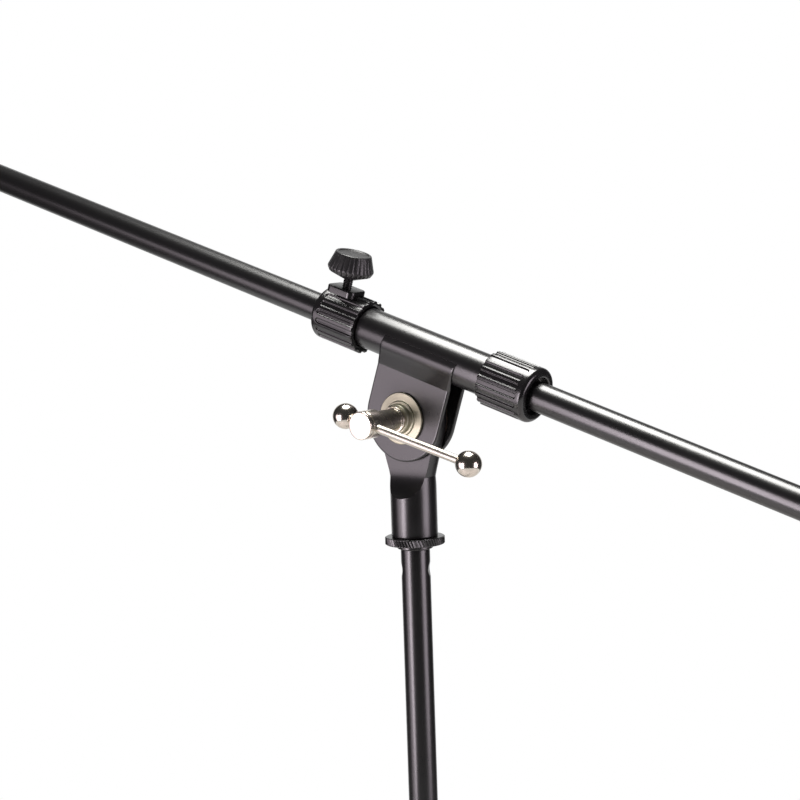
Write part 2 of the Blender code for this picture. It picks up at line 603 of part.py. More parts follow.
# Bracket: two bent cheek plates welded to the sleeve tube
sleeve_mesh = pipe("sleeve_tube", sleeve_radius, sleeve_radius - SLEEVE_WALL, -SLEEVE_UP, SLEEVE_DOWN)
sleeve = add(sleeve_mesh, BLACK_COAT, along_boom, tilt_empty)
plate_hug = sleeve_radius + SEAT
plate_foot = -SLEEVE_RISE - PLATE_HALF_WIDTH - CUT


def plate_edge(radius, flat):
    """One face of a cheek plate's cross-section, from the sleeve down to the foot."""
    wrap = arc((0.0, 0.0), radius, PLATE_WRAP, -PLATE_TURN, 8)
    return [(up, out) for out, up in wrap] + [(-PLATE_BEND_DROP, flat), (plate_foot, flat)]


plate_section = plate_edge(plate_hug + PLATE_THICK, plate_out) + plate_edge(plate_hug, plate_in)[::-1]
plate_blank = PLATE_HALF_WIDTH + SLEEVE_OD
plate_top = SLEEVE_RISE + sleeve_radius
plate_outline = [(-PLATE_HALF_WIDTH, plate_top)]
plate_outline += arc((0.0, PLATE_ROUND_RISE), PLATE_HALF_WIDTH, math.pi, 2 * math.pi, 20)
plate_outline += [(PLATE_HALF_WIDTH, plate_top)]
lean_frame = out_of_clamp @ Matrix.Rotation(-PLATE_LEAN, 4, 'Z')
disc_low = TONGUE_HALF + SEAT
for label, side in (("front", 1), ("rear", -1)):
    section = [(up, side * out) for up, out in plate_section]
    name = label + "_cheek_plate"
    plate = add(extruded(name, section, -plate_blank, plate_blank), BLACK_COAT, along_boom, tilt_empty)
    combine(plate, extruded(name + "_outline", plate_outline, -SLEEVE_OD, SLEEVE_OD), lean_frame, 'INTERSECT')
    drill(plate, name + "_bore", clamp_bore, -SLEEVE_OD, SLEEVE_OD, out_of_clamp)
    low, high = sorted((side * disc_low, side * (disc_low + DISC_THICK)))
    disc_mesh = pipe(label + "_friction_disc", DISC_RADIUS, clamp_bore, low, high)
    add(disc_mesh, FIBRE, out_of_clamp, tilt_empty)

# T-handle: flanged washer, screw with a cross-drilled head, sliding bar with two balls, nut behind
washer_low = plate_out + SEAT
washer_high = washer_low + WASHER_THICK
boss_face = washer_high + BOSS_LENGTH
add(turned("clamp_washer", [
    (clamp_bore, washer_low), (WASHER_RADIUS, washer_low), (WASHER_RADIUS, washer_high - FINE_BEVEL),
    (WASHER_RADIUS - FINE_BEVEL, washer_high), (BOSS_RADIUS, washer_high), (BOSS_RADIUS, boss_face - BEVEL),
    (BOSS_RADIUS - BEVEL, boss_face), (clamp_bore, boss_face)]), NICKEL, out_of_clamp, tilt_empty)
neck_low = boss_face + SEAT
nut_low = -plate_out - SEAT
nut_far = nut_low - REAR_NUT_THICK
screw_end = nut_far - SCREW_TAIL
screw_radius = SCREW_OD / 2
t_screw = add(turned("t_screw", [
    (0.0, screw_end), (screw_radius - BEVEL, screw_end), (screw_radius, screw_end + BEVEL),
    (screw_radius, neck_low), (NECK_RADIUS, neck_low), (NECK_RADIUS, HEAD_NEAR),
    (HEAD_RADIUS - BEVEL, HEAD_NEAR), (HEAD_RADIUS, HEAD_NEAR + BEVEL), (HEAD_RADIUS, HEAD_FACE - BEVEL),
    (HEAD_RADIUS - BEVEL, HEAD_FACE), (0.0, HEAD_FACE)]), NICKEL, out_of_clamp, handle_empty)
bar_along = X * math.cos(BAR_DROOP) - Z * math.sin(BAR_DROOP)
bar_frame = frame_at(pivot_point + clamp_front * BAR_OUT, bar_along, clamp_front)
bar_empty = add_axis("tommy_bar_axis", bar_frame, handle_empty)
drill(t_screw, "bar_hole", BAR_OD / 2 + FIT, -HEAD_RADIUS - CUT, HEAD_RADIUS + CUT, bar_frame)
ball_near = -(HEAD_RADIUS + BALL_RADIUS + BALL_REST_GAP)
ball_far = ball_near + BALL_SPACING
bar_start = ball_near - BALL_RADIUS + BALL_HOLE_DEPTH
bar_stop = ball_far + BALL_RADIUS - BALL_HOLE_DEPTH
add(rod("tommy_bar", BAR_OD / 2, bar_start, bar_stop), NICKEL, bar_frame, bar_empty)
balls = (("inner_ball", ball_near, bar_start, 1), ("outer_ball", ball_far, bar_stop, -1))
for name, centre, bar_end, inward in balls:
    bm = bmesh.new()
    bmesh.ops.create_uvsphere(bm, u_segments=20, v_segments=10, radius=BALL_RADIUS,
                              matrix=Matrix.Translation(Z * centre))
    ball = add(to_mesh(name, bm), NICKEL, bar_frame, bar_empty)
    low, high = sorted((bar_end - inward * SEAT, bar_end + inward * BALL_RADIUS * 2))
    drill(ball, name + "_hole", BAR_OD / 2 + FIT / 2, low, high, bar_frame)
rear_nut_mesh = extruded("clamp_nut", hexagon(REAR_NUT_ACROSS), nut_far, nut_low)
rear_nut = add(rear_nut_mesh, NICKEL, out_of_clamp, tilt_empty)
drill(rear_nut, "clamp_nut_bore", screw_radius + FIT / 2, nut_far - CUT, nut_low + CUT, out_of_clamp)

# Boom collars: the upper one clamps the boom, the lower one guides it
upper_start = SLEEVE_UP + SEAT - collar_shoulder
lower_start = SLEEVE_DOWN + SEAT - collar_shoulder
half_channel = Matrix.Rotation(math.pi / CHANNEL_COUNT, 4, 'Z')
upward = frame_at(clamp_middle - boom_along * upper_start, -boom_along, boom_up) @ half_channel
downward = frame_at(clamp_middle + boom_along * lower_start, boom_along, boom_up)
boom_collar = ribbed_collar("boom_clamp_collar", upward, sleeve_radius, boom_radius + FIT, tilt_empty)
ribbed_collar("boom_guide_collar", downward, sleeve_radius, boom_radius + FIT, tilt_empty)
boom_seat = frame_at(clamp_middle - boom_along * (upper_start + THUMB_INSET), boom_up, boom_along)
boom_turn = add_axis("boom_thumbscrew_axis", boom_seat, tilt_empty)
thumb_clamp("boom", boom_collar, sleeve, boom_seat, boom_radius, boom_turn)

# Boom tube, threaded microphone end and rubber end cap
boom_mesh = pipe("boom_tube", boom_radius, boom_radius - BOOM_WALL, -BOOM_UP_REACH, BOOM_DOWN_REACH)
add(boom_mesh, BLACK_COAT, along_boom, boom_empty)
mic_plug_radius = boom_radius - BOOM_WALL - FIT
mic_seat = -BOOM_UP_REACH - SEAT
mic_flange = mic_seat - MIC_FLANGE_THICK
mic_tip = mic_flange - MIC_THREAD_LENGTH
mic_thread_radius = MIC_THREAD_OD / 2
add(turned("mic_thread", [
    (0.0, mic_tip), (mic_thread_radius - BEVEL, mic_tip), (mic_thread_radius, mic_tip + BEVEL),
    (mic_thread_radius, mic_flange), (MIC_FLANGE_OD / 2, mic_flange), (MIC_FLANGE_OD / 2, mic_seat),
    (mic_plug_radius, mic_seat), (mic_plug_radius, mic_seat + MIC_PLUG_LENGTH),
    (0.0, mic_seat + MIC_PLUG_LENGTH)]), NICKEL, along_boom, boom_empty)
cap_bore = boom_radius + FIT
cap_radius = cap_bore + CAP_WALL
cap_seat = BOOM_DOWN_REACH + SEAT
cap_end = cap_seat + CAP_END
cap_lip = cap_end - CAP_LENGTH
add(turned("boom_end_cap", [
    (0.0, cap_seat), (cap_bore, cap_seat), (cap_bore, cap_lip), (cap_radius - CAP_LIP_BEVEL, cap_lip),
    (cap_radius, cap_lip + CAP_LIP_BEVEL), (cap_radius, cap_end - CAP_BEVEL),
    (cap_radius - CAP_BEVEL, cap_end), (0.0, cap_end)]), RUBBER, along_boom, boom_empty)
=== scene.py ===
"""Boom microphone stand: the finished surfaces, in assembly order from the floor up."""

import json
import math

import bmesh
import bpy
from mathutils import Matrix, Vector


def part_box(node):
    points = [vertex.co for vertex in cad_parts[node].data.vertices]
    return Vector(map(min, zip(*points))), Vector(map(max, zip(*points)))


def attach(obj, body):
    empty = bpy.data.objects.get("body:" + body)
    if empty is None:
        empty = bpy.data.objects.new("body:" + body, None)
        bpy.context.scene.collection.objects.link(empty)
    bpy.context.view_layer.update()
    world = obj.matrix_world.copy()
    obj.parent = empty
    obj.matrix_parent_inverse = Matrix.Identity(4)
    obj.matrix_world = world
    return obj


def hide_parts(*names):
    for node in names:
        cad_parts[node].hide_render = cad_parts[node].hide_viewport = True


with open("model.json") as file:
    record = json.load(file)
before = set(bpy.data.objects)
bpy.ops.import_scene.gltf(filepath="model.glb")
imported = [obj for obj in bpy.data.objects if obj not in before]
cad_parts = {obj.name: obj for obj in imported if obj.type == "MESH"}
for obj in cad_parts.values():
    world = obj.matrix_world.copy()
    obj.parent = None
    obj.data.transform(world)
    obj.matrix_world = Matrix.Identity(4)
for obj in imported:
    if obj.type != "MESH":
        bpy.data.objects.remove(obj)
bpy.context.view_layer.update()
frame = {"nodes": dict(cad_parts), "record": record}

# Studio: a white sweep under soft boxes; a broad one overhead, a bright strip and a dimmer panel on the left,
# and a wide panel on the right. The camera stands to the right of the clamp's handle and looks slightly down.
MM = 0.001
VIEW_AZIMUTH = math.radians(37.23)
VIEW_ELEVATION = math.radians(6.59)
VIEW_ROLL = math.radians(-1.85)
VIEW_DISTANCE = 1.199
SENSOR = 36.0
LENS = 99.3
VIEW_LIMIT = 50.0
AIM_RIGHT = -6.0 * MM
AIM_UP = 9.0 * MM
FLOOR_RADIUS = 1.9
FLOOR_FADE = 1.0
BACKDROP_EDGE = 0.7
BACKDROP_FULL = 0.98
ROOM_DARK = 0.03
ROOM_FILL = 0.3
joints = {joint["name"]: joint for joint in frame["record"]["behaviour"]["joints"]}
pivot = Vector(joints["boom_tilt"]["pos_m"])
scene = bpy.context.scene
scene.view_settings.view_transform = "Standard"


def hex_colour(code):
    """Linear colour with alpha from an sRGB hex value such as 1d1b1c."""
    channels = [int(code[i:i + 2], 16) / 255 for i in (0, 2, 4)]
    linear = [c / 12.92 if c <= 0.04045 else ((c + 0.055) / 1.055) ** 2.4 for c in channels]
    return (*linear, 1.0)


def add_node(tree, kind, inputs=None, **settings):
    """Add a node, set its properties, and set or link its inputs."""
    node = tree.nodes.new(kind)
    for name, value in settings.items():
        setattr(node, name, value)
    for name, value in (inputs or {}).items():
        if isinstance(value, bpy.types.NodeSocket):
            tree.links.new(value, node.inputs[name])
        else:
            node.inputs[name].default_value = value
    return node


def linked(name, data):
    """A new object, linked into the scene."""
    thing = bpy.data.objects.new(name, data)
    scene.collection.objects.link(thing)
    return thing


forward = Vector((-math.sin(VIEW_AZIMUTH) * math.cos(VIEW_ELEVATION),
                  math.cos(VIEW_AZIMUTH) * math.cos(VIEW_ELEVATION), -math.sin(VIEW_ELEVATION)))
level_right = Vector((math.cos(VIEW_AZIMUTH), math.sin(VIEW_AZIMUTH), 0.0))
level_up = level_right.cross(forward)
view_right = level_right * math.cos(VIEW_ROLL) + level_up * math.sin(VIEW_ROLL)
view_up = view_right.cross(forward)
camera_place = pivot - forward * VIEW_DISTANCE
aim = (pivot + view_right * AIM_RIGHT + view_up * AIM_UP - camera_place).normalized()
aim_right = aim.cross(view_up).normalized()
aim_up = aim_right.cross(aim)
camera = linked("camera", bpy.data.cameras.new("camera"))
camera.data.sensor_width = SENSOR
camera.data.lens = LENS
camera.data.clip_end = VIEW_LIMIT
facing = Matrix((aim_right, aim_up, -aim)).transposed().to_4x4()
camera.matrix_world = Matrix.Translation(camera_place) @ facing
scene.camera = camera


def frame_at(origin, along, side):
    """Matrix whose local Z runs along one direction and whose local X points near another."""
    z_axis = along.normalized()
    y_axis = z_axis.cross(side).normalized()
    x_axis = y_axis.cross(z_axis)
    return Matrix.Translation(origin) @ Matrix((x_axis, y_axis, z_axis)).transposed().to_4x4()


def soft_box(name, azimuth, elevation, distance, width, height, power, tint, along):
    """A rectangular lamp aimed at the clamp; azimuth counts from the camera, to the right."""
    turn = VIEW_AZIMUTH + math.radians(azimuth)
    rise = math.radians(elevation)
    away = Vector((math.sin(turn) * math.cos(rise), -math.cos(turn) * math.cos(rise), math.sin(rise)))
    lamp = bpy.data.lights.new(name, 'AREA')
    lamp.shape = 'RECTANGLE'
    lamp.size, lamp.size_y = width, height
    lamp.energy = power
    lamp.color = hex_colour(tint)[:3]
    linked(name, lamp).matrix_world = frame_at(pivot + away * distance, away, along)


boom_along = Vector(joints["boom_slide"]["axis"]).normalized()
soft_box("overhead_box", azimuth=165, elevation=80.5, distance=1.5, width=0.9, height=0.95, power=40.0,
         tint="fffefb", along=boom_along)
soft_box("left_strip", azimuth=-54, elevation=-8, distance=1.5, width=0.45, height=0.95, power=12.0,
         tint="fff2fb", along=level_right)
soft_box("left_panel", azimuth=-77, elevation=-8, distance=1.5, width=0.6, height=0.95, power=3.9,
         tint="fff0fa", along=forward)
soft_box("right_panel", azimuth=62, elevation=-6, distance=1.7, width=0.9, height=1.0, power=10.5,
         tint="fff1fc", along=forward)

world = bpy.data.worlds.new("studio")
scene.world = world
world.use_nodes = True
sky = world.node_tree
sky.nodes.clear()
ray = add_node(sky, 'ShaderNodeLightPath')
mirrored = add_node(sky, 'ShaderNodeMath', {
    0: ray.outputs["Is Glossy Ray"], 1: ray.outputs["Is Transmission Ray"]}, operation='MAXIMUM')
direction = add_node(sky, 'ShaderNodeTexCoord')
behind = add_node(sky, 'ShaderNodeVectorMath', {
    0: direction.outputs["Generated"], 1: forward}, operation='DOT_PRODUCT')
# Mirrors see the white sweep behind the object and a dark room elsewhere
backdrop = add_node(sky, 'ShaderNodeMapRange', {
    "Value": behind.outputs["Value"], "From Min": BACKDROP_EDGE, "From Max": BACKDROP_FULL,
    "To Min": ROOM_DARK, "To Max": 1.0}, interpolation_type='SMOOTHSTEP')
reflected = add_node(sky, 'ShaderNodeMath', {
    0: mirrored.outputs[0], 1: backdrop.outputs["Result"]}, operation='MULTIPLY')
seen = add_node(sky, 'ShaderNodeMath', {
    0: ray.outputs["Is Camera Ray"], 1: reflected.outputs[0]}, operation='MAXIMUM')
direct = add_node(sky, 'ShaderNodeMath', {
    0: ray.outputs["Is Camera Ray"], 1: mirrored.outputs[0]}, operation='MAXIMUM')
ambient = add_node(sky, 'ShaderNodeMath', {0: 1.0, 1: direct.outputs[0]}, operation='SUBTRACT')
fill = add_node(sky, 'ShaderNodeMath', {
    0: ambient.outputs[0], 1: ROOM_FILL, 2: seen.outputs[0]}, operation='MULTIPLY_ADD')
background = add_node(sky, 'ShaderNodeBackground', {
    "Color": (1.0, 1.0, 1.0, 1.0), "Strength": fill.outputs[0]})
add_node(sky, 'ShaderNodeOutputWorld', {"Surface": background.outputs[0]})

bm = bmesh.new()
bmesh.ops.create_circle(bm, cap_ends=True, radius=FLOOR_RADIUS, segments=128)
floor_mesh = bpy.data.meshes.new("studio_floor")
bm.to_mesh(floor_mesh)
bm.free()
floor = linked("studio_floor", floor_mesh)
paper = bpy.data.materials.new("white_paper_sweep")
paper.use_nodes = True
sheet_tree = paper.node_tree
sheet_tree.nodes.clear()
place = add_node(sheet_tree, 'ShaderNodeTexCoord')
reach = add_node(sheet_tree, 'ShaderNodeVectorMath', {0: place.outputs["Object"]}, operation='LENGTH')
fade = add_node(sheet_tree, 'ShaderNodeMapRange', {
    "Value": reach.outputs["Value"], "From Min": FLOOR_FADE, "From Max": FLOOR_RADIUS},
    interpolation_type='SMOOTHSTEP')
matt = add_node(sheet_tree, 'ShaderNodeBsdfDiffuse', {"Color": hex_colour("dedcd9")})
glow = add_node(sheet_tree, 'ShaderNodeEmission', {"Color": (1.0, 1.0, 1.0, 1.0), "Strength": 1.0})
mixed = add_node(sheet_tree, 'ShaderNodeMixShader', {
    0: fade.outputs["Result"], 1: matt.outputs[0], 2: glow.outputs[0]})
add_node(sheet_tree, 'ShaderNodeOutputMaterial', {"Surface": mixed.outputs[0]})
floor_mesh.materials.append(paper)

# Tripod hub: a zinc casting, powder coated black, with three pairs of ears for the legs.
# The mast stands in its bore and a bolt from below holds it. The casting keeps a soft orange-peel skin.
FIT = 0.2 * MM
SEAT = 0.12 * MM
LEG_OD = 16.0 * MM
LEG_COUNT = 3
HUB_OD = 46.0 * MM
HUB_FLOOR = 66.0 * MM
HUB_FLOOR_THICK = 6.0 * MM
HUB_TOP = 122.0 * MM
HUB_LIP = 4.0 * MM
BASE_BOLT_OD = 8.0 * MM
LOWER_OD = 22.6 * MM
EAR_THICK = 6.0 * MM
EAR_REACH = 11.0 * MM
EAR_ROOT = 12.0 * MM
WELD = 1e-6
SLIVER = 1e-7
NOISE_LOW = 0.1
NOISE_HIGH = 0.45


def finish(name, base, tones, metallic=0.0, roughness=(0.3, 0.4), cloud=30.0, grain=1.0, relief=0.01,
           specular=0.5):
    """A surface with cloudy tone and gloss, and a fine grain in its relief; sizes in millimetres."""
    material = bpy.data.materials.new(name)
    material.use_nodes = True
    tree = material.node_tree
    shader = tree.nodes["Principled BSDF"]
    spot = add_node(tree, 'ShaderNodeTexCoord').outputs["Object"]
    clouds = add_node(tree, 'ShaderNodeTexNoise', {"Vector": spot, "Scale": 1 / (cloud * MM), "Detail": 3.0})
    speck = add_node(tree, 'ShaderNodeTexNoise', {"Vector": spot, "Scale": 1 / (grain * MM), "Detail": 2.0})
    # Sockets 6 and 7 of a colour mix are its two colours, and output 2 is the mixed colour
    tone = add_node(tree, 'ShaderNodeMix', {
        "Factor": clouds.outputs["Fac"], 6: hex_colour(base), 7: hex_colour(tones)}, data_type='RGBA')
    tree.links.new(tone.outputs[2], shader.inputs["Base Color"])
    blur = add_node(tree, 'ShaderNodeMath', {
        0: clouds.outputs["Fac"], 1: speck.outputs["Fac"]}, operation='MULTIPLY')
    gloss = add_node(tree, 'ShaderNodeMapRange', {
        "Value": blur.outputs[0], "From Min": NOISE_LOW, "From Max": NOISE_HIGH,
        "To Min": roughness[0], "To Max": roughness[1]})
    tree.links.new(gloss.outputs["Result"], shader.inputs["Roughness"])
    if relief > 0.0:
        dents = add_node(tree, 'ShaderNodeBump', {
            "Height": speck.outputs["Fac"], "Strength": 1.0, "Distance": relief * MM})
        tree.links.new(dents.outputs[0], shader.inputs["Normal"])
    shader.inputs["Metallic"].default_value = metallic
    shader.inputs["Specular IOR Level"].default_value = specular
    return material


cast_coat = finish("powder_coated_zinc_casting", "1a1819", "211f20", roughness=(0.42, 0.55), grain=1.2,
                   relief=0.03)


def soften(points, arc_steps=5):
    """Round the corners of a closed (radius, height, fillet) outline."""
    outline = []
    for i, (r, z, fillet) in enumerate(points):
        here = Vector((r, z))
        if fillet <= 0.0:
            outline.append((r, z))
            continue
        before = (Vector(points[i - 1][:2]) - here).normalized()
        after = (Vector(points[(i + 1) % len(points)][:2]) - here).normalized()
        half = before.angle(after) / 2
        back = fillet / math.tan(half)
        centre = here + (before + after).normalized() * (fillet / math.sin(half))
        first = here + before * back - centre
        last = here + after * back - centre
        sweep = first.angle(last)
        for k in range(arc_steps + 1):
            share = k / arc_steps
            spoke = first * math.sin((1 - share) * sweep) + last * math.sin(share * sweep)
            outline.append(tuple(centre + spoke / math.sin(sweep)))
    return outline


def turned(points, steps=96):
    """Spin a closed outline of (radius, height, fillet) points about local Z."""
    bm = bmesh.new()
    verts = [bm.verts.new((max(r, 0.0), 0.0, z)) for r, z in soften(points)]
    edges = []
    for i, first in enumerate(verts):
        second = verts[(i + 1) % len(verts)]
        if first.co.x > 0.0 or second.co.x > 0.0:
            edges.append(bm.edges.new((first, second)))
    bmesh.ops.spin(bm, geom=verts + edges, cent=(0, 0, 0), axis=(0, 0, 1),
                   angle=2 * math.pi, steps=steps, use_merge=True)
    bmesh.ops.delete(bm, geom=[v for v in bm.verts if not v.link_faces], context='VERTS')
    return bm


def lofted(loops, closed=False):
    """Skin a stack of equal loops of points; the ends are capped unless the last joins the first."""
    bm = bmesh.new()
    rings = [[bm.verts.new(point) for point in loop] for loop in loops]
    count = len(rings[0])
    pairs = list(zip(rings, rings[1:]))
    if closed:
        pairs.append((rings[-1], rings[0]))
    for low, high in pairs:
        for i in range(count):
            k = (i + 1) % count
            bm.faces.new((low[i], low[k], high[k], high[i]))
    if not closed:
        bm.faces.new(rings[0])
        bm.faces.new(rings[-1])
    return bm


def ring_of(radius_at, z, steps):
    """A loop of points at one height whose radius is a function of the angle."""
    angles = [2 * math.pi * i / steps for i in range(steps)]
    return [(radius_at(a) * math.cos(a), radius_at(a) * math.sin(a), z) for a in angles]


def arc(centre, radius, start, stop, count):
    """Points of an arc, ends included."""
    angles = [start + (stop - start) * i / count for i in range(count + 1)]
    return [(centre[0] + radius * math.cos(a), centre[1] + radius * math.sin(a)) for a in angles]


def prism(outline, low, high):
    """Extrude a flat outline of (x, y) points along local Z."""
    return lofted([[(x, y, z) for x, y in outline] for z in (low, high)])


def add_bevel(piece, width, angle):
    """Round the edges of a piece that are sharper than an angle in degrees."""
    bevel = piece.modifiers.new("soft_edges", 'BEVEL')
    bevel.width = width
    bevel.segments = 3
    bevel.limit_method = 'ANGLE'
    bevel.angle_limit = math.radians(angle)
    bevel.harden_normals = True


def make_piece(name, shells, material, body, nodes, edge=0.0, smooth=35.0):
    """One object from placed shells, with softened edges, riding on its body in place of CAD nodes."""
    mesh = bpy.data.meshes.new(name)
    whole = bmesh.new()
    for shell, placing in shells:
        bmesh.ops.remove_doubles(shell, verts=shell.verts, dist=WELD)
        bmesh.ops.dissolve_degenerate(shell, edges=shell.edges, dist=SLIVER)
        shell.transform(placing)
        bmesh.ops.recalc_face_normals(shell, faces=shell.faces)
        part = bpy.data.meshes.new("shell")
        shell.to_mesh(part)
        shell.free()
        whole.from_mesh(part)
        bpy.data.meshes.remove(part)
    whole.to_mesh(mesh)
    whole.free()
    piece = linked(name, mesh)
    mesh.materials.append(material)
    mesh.shade_smooth()
    mesh.set_sharp_from_angle(angle=math.radians(smooth))
    if edge > 0.0:
        add_bevel(piece, edge, smooth)
    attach(piece, body)
    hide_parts(*nodes)


UPRIGHT = Matrix.Identity(4)
Z = Vector((0.0, 0.0, 1.0))
hinge = Vector(joints["leg_1_fold"]["pos_m"])
hub_bore = LOWER_OD / 2 + FIT
bolt_bore = BASE_BOLT_OD / 2 + FIT
hub_inside = HUB_FLOOR + HUB_FLOOR_THICK
hub_shells = [(turned([
    (bolt_bore, HUB_FLOOR, 0), (HUB_OD / 2, HUB_FLOOR, 3 * MM), (HUB_OD / 2, hinge.z + EAR_ROOT, 4 * MM),
    (hub_bore + HUB_LIP, HUB_TOP - HUB_LIP, 2 * MM), (hub_bore + HUB_LIP, HUB_TOP, 1 * MM),
    (hub_bore, HUB_TOP, 0), (hub_bore, hub_inside, 0), (bolt_bore, hub_inside, 0)]), UPRIGHT)]
ear_start = hub_bore + HUB_LIP
ear_outline = [(ear_start, -EAR_ROOT)]
ear_outline += arc((hinge.x, 0.0), EAR_REACH, -math.pi / 2, math.pi / 2, 20)
ear_outline += [(ear_start, EAR_ROOT)]
leg_headings = [2 * math.pi * i / LEG_COUNT for i in range(LEG_COUNT)]
leg_ways = [Vector((math.cos(a), math.sin(a), 0.0)) for a in leg_headings]
for outward in leg_ways:
    ear_frame = frame_at(Z * hinge.z, outward.cross(Z), outward)
    for side in (-1, 1):
        near = side * (LEG_OD / 2 + FIT)
        hub_shells.append((prism(ear_outline, near, near + side * EAR_THICK), ear_frame))
make_piece("tripod_hub", hub_shells, cast_coat, "base", ["base_hub"], edge=1.0 * MM, smooth=40)

# Hinge bolts, lock nuts and the mast bolt: zinc-plated steel, bought in.
# The plating is a thin blue-white skin over rolled steel, cloudy rather than mirror bright.
# The hidden plug, stud and captive nuts keep their plain solids, in the same plating.
zinc_plate = finish("zinc_plated_steel", "aeb2b6", "c2c5c6", metallic=1.0, roughness=(0.26, 0.38), cloud=6,
                    grain=0.5)
HINGE_OD = 6.0 * MM
HEAD_RADIUS = 6.0 * MM
HEAD_THICK = 4.0 * MM
NUT_ACROSS = 10.0 * MM
NUT_THICK = 5.0 * MM
HINGE_TAIL = 1.0 * MM
BASE_HEAD_RADIUS = 8.0 * MM
BASE_HEAD_THICK = 5.0 * MM
BASE_GRIP = 28.0 * MM


def hexagon(across):
    """Corners of a hexagon of a given width across its flats."""
    return arc((0.0, 0.0), across / math.sqrt(3.0), 0.0, 5 * math.pi / 3, 5)


def bolt_shell(radius, length, head_radius, head_thick, seat):
    """A round-headed bolt along local Z with its head under the seat."""
    return turned([
        (0, seat - head_thick, 0), (head_radius, seat - head_thick, 1.5 * MM), (head_radius, seat, 0.2 * MM),
        (radius, seat, 0), (radius, seat + length, 0.5 * MM), (0, seat + length, 0)], 48)


bolt_face = LEG_OD / 2 + FIT + EAR_THICK + SEAT
bolt_length = 2 * bolt_face + NUT_THICK + HINGE_TAIL
for number, outward in enumerate(leg_ways, start=1):
    bolt_frame = frame_at(outward * hinge.x + Z * hinge.z, outward.cross(Z), outward)
    bolt = bolt_shell(HINGE_OD / 2, bolt_length, HEAD_RADIUS, HEAD_THICK, -bolt_face)
    make_piece("leg_hinge_bolt_%d" % number, [(bolt, bolt_frame)], zinc_plate, "base",
               ["leg_bolt_%d" % number])
    nut = prism(hexagon(NUT_ACROSS), bolt_face, bolt_face + NUT_THICK)
    make_piece("leg_hinge_nut_%d" % number, [(nut, bolt_frame)], zinc_plate, "base",
               ["leg_nut_%d" % number], edge=0.5 * MM)
mast_bolt = bolt_shell(BASE_BOLT_OD / 2, BASE_GRIP, BASE_HEAD_RADIUS, BASE_HEAD_THICK, HUB_FLOOR - SEAT)
make_piece("mast_bolt", [(mast_bolt, UPRIGHT)], zinc_plate, "base", ["base_bolt"])


def dress(names, material):
    """Give CAD nodes that stay as they are a finished material."""
    for name in names:
        frame["nodes"][name].data.materials.clear()
        frame["nodes"][name].data.materials.append(material)


dress(("mast_plug", "mast_stud", "boom_nut", "height_nut"), zinc_plate)

# Legs: welded steel tube, powder coated satin black, hinged in the hub's ears.
# The coat is smooth with a faint grain, so lamps draw long soft-edged streaks on it.
satin_coat = finish("satin_black_powder_coat", "0d0c0d", "111011", roughness=(0.27, 0.32), cloud=40,
                    grain=0.9, relief=0.001, specular=1.0)
LEG_LENGTH = 340.0 * MM
LEG_TAIL = 11.0 * MM
LEG_SLOPE = math.radians(15.0)
TUBE_WALL = 1.2 * MM
LIP_SHARE = 0.4


def tube(outer, wall, low, high, steps=72):
    """A tube along local Z with slightly rounded ends."""
    lip = wall * LIP_SHARE
    inner = outer - wall
    return turned([(outer, low, lip), (outer, high, lip), (inner, high, lip), (inner, low, lip)], steps)


leg_tip = LEG_LENGTH - LEG_TAIL
leg_frames = []
for number, outward in enumerate(leg_ways, start=1):
    leg_along = outward * math.cos(LEG_SLOPE) - Z * math.sin(LEG_SLOPE)
    leg_frames.append(frame_at(outward * hinge.x + Z * hinge.z, leg_along, Z))
    leg = tube(LEG_OD / 2, TUBE_WALL, -LEG_TAIL, leg_tip)
    make_piece("leg_%d" % number, [(leg, leg_frames[-1])], satin_coat, "leg_%d" % number,
               ["leg_tube_%d" % number])

# Feet: moulded rubber caps pushed over the leg ends, with grip rings and a worn flat where they stand.
# Rubber is matt and slightly dusty, with a fine moulded grain.
rubber = finish("moulded_black_rubber", "191919", "232322", roughness=(0.62, 0.8), cloud=8, grain=0.6,
                relief=0.03, specular=0.3)
FOOT_WALL = 2.6 * MM
FOOT_LENGTH = 40.0 * MM
FOOT_END = 4.0 * MM
FOOT_RINGS = 4
GRIP_START = 6.0 * MM
GRIP_PITCH = 5.0 * MM
GRIP_DEPTH = 0.8 * MM
GRIP_WIDTH = 2.2 * MM
GRIP_FLANK = 0.7 * MM


def cut_across(shell, height, facing, **settings):
    """Cut a shell at one height; facing is 1 for a plane that looks up and -1 for down."""
    everything = shell.verts[:] + shell.edges[:] + shell.faces[:]
    return bmesh.ops.bisect_plane(shell, geom=everything, plane_co=(0, 0, height),
                                  plane_no=(0, 0, facing), **settings)


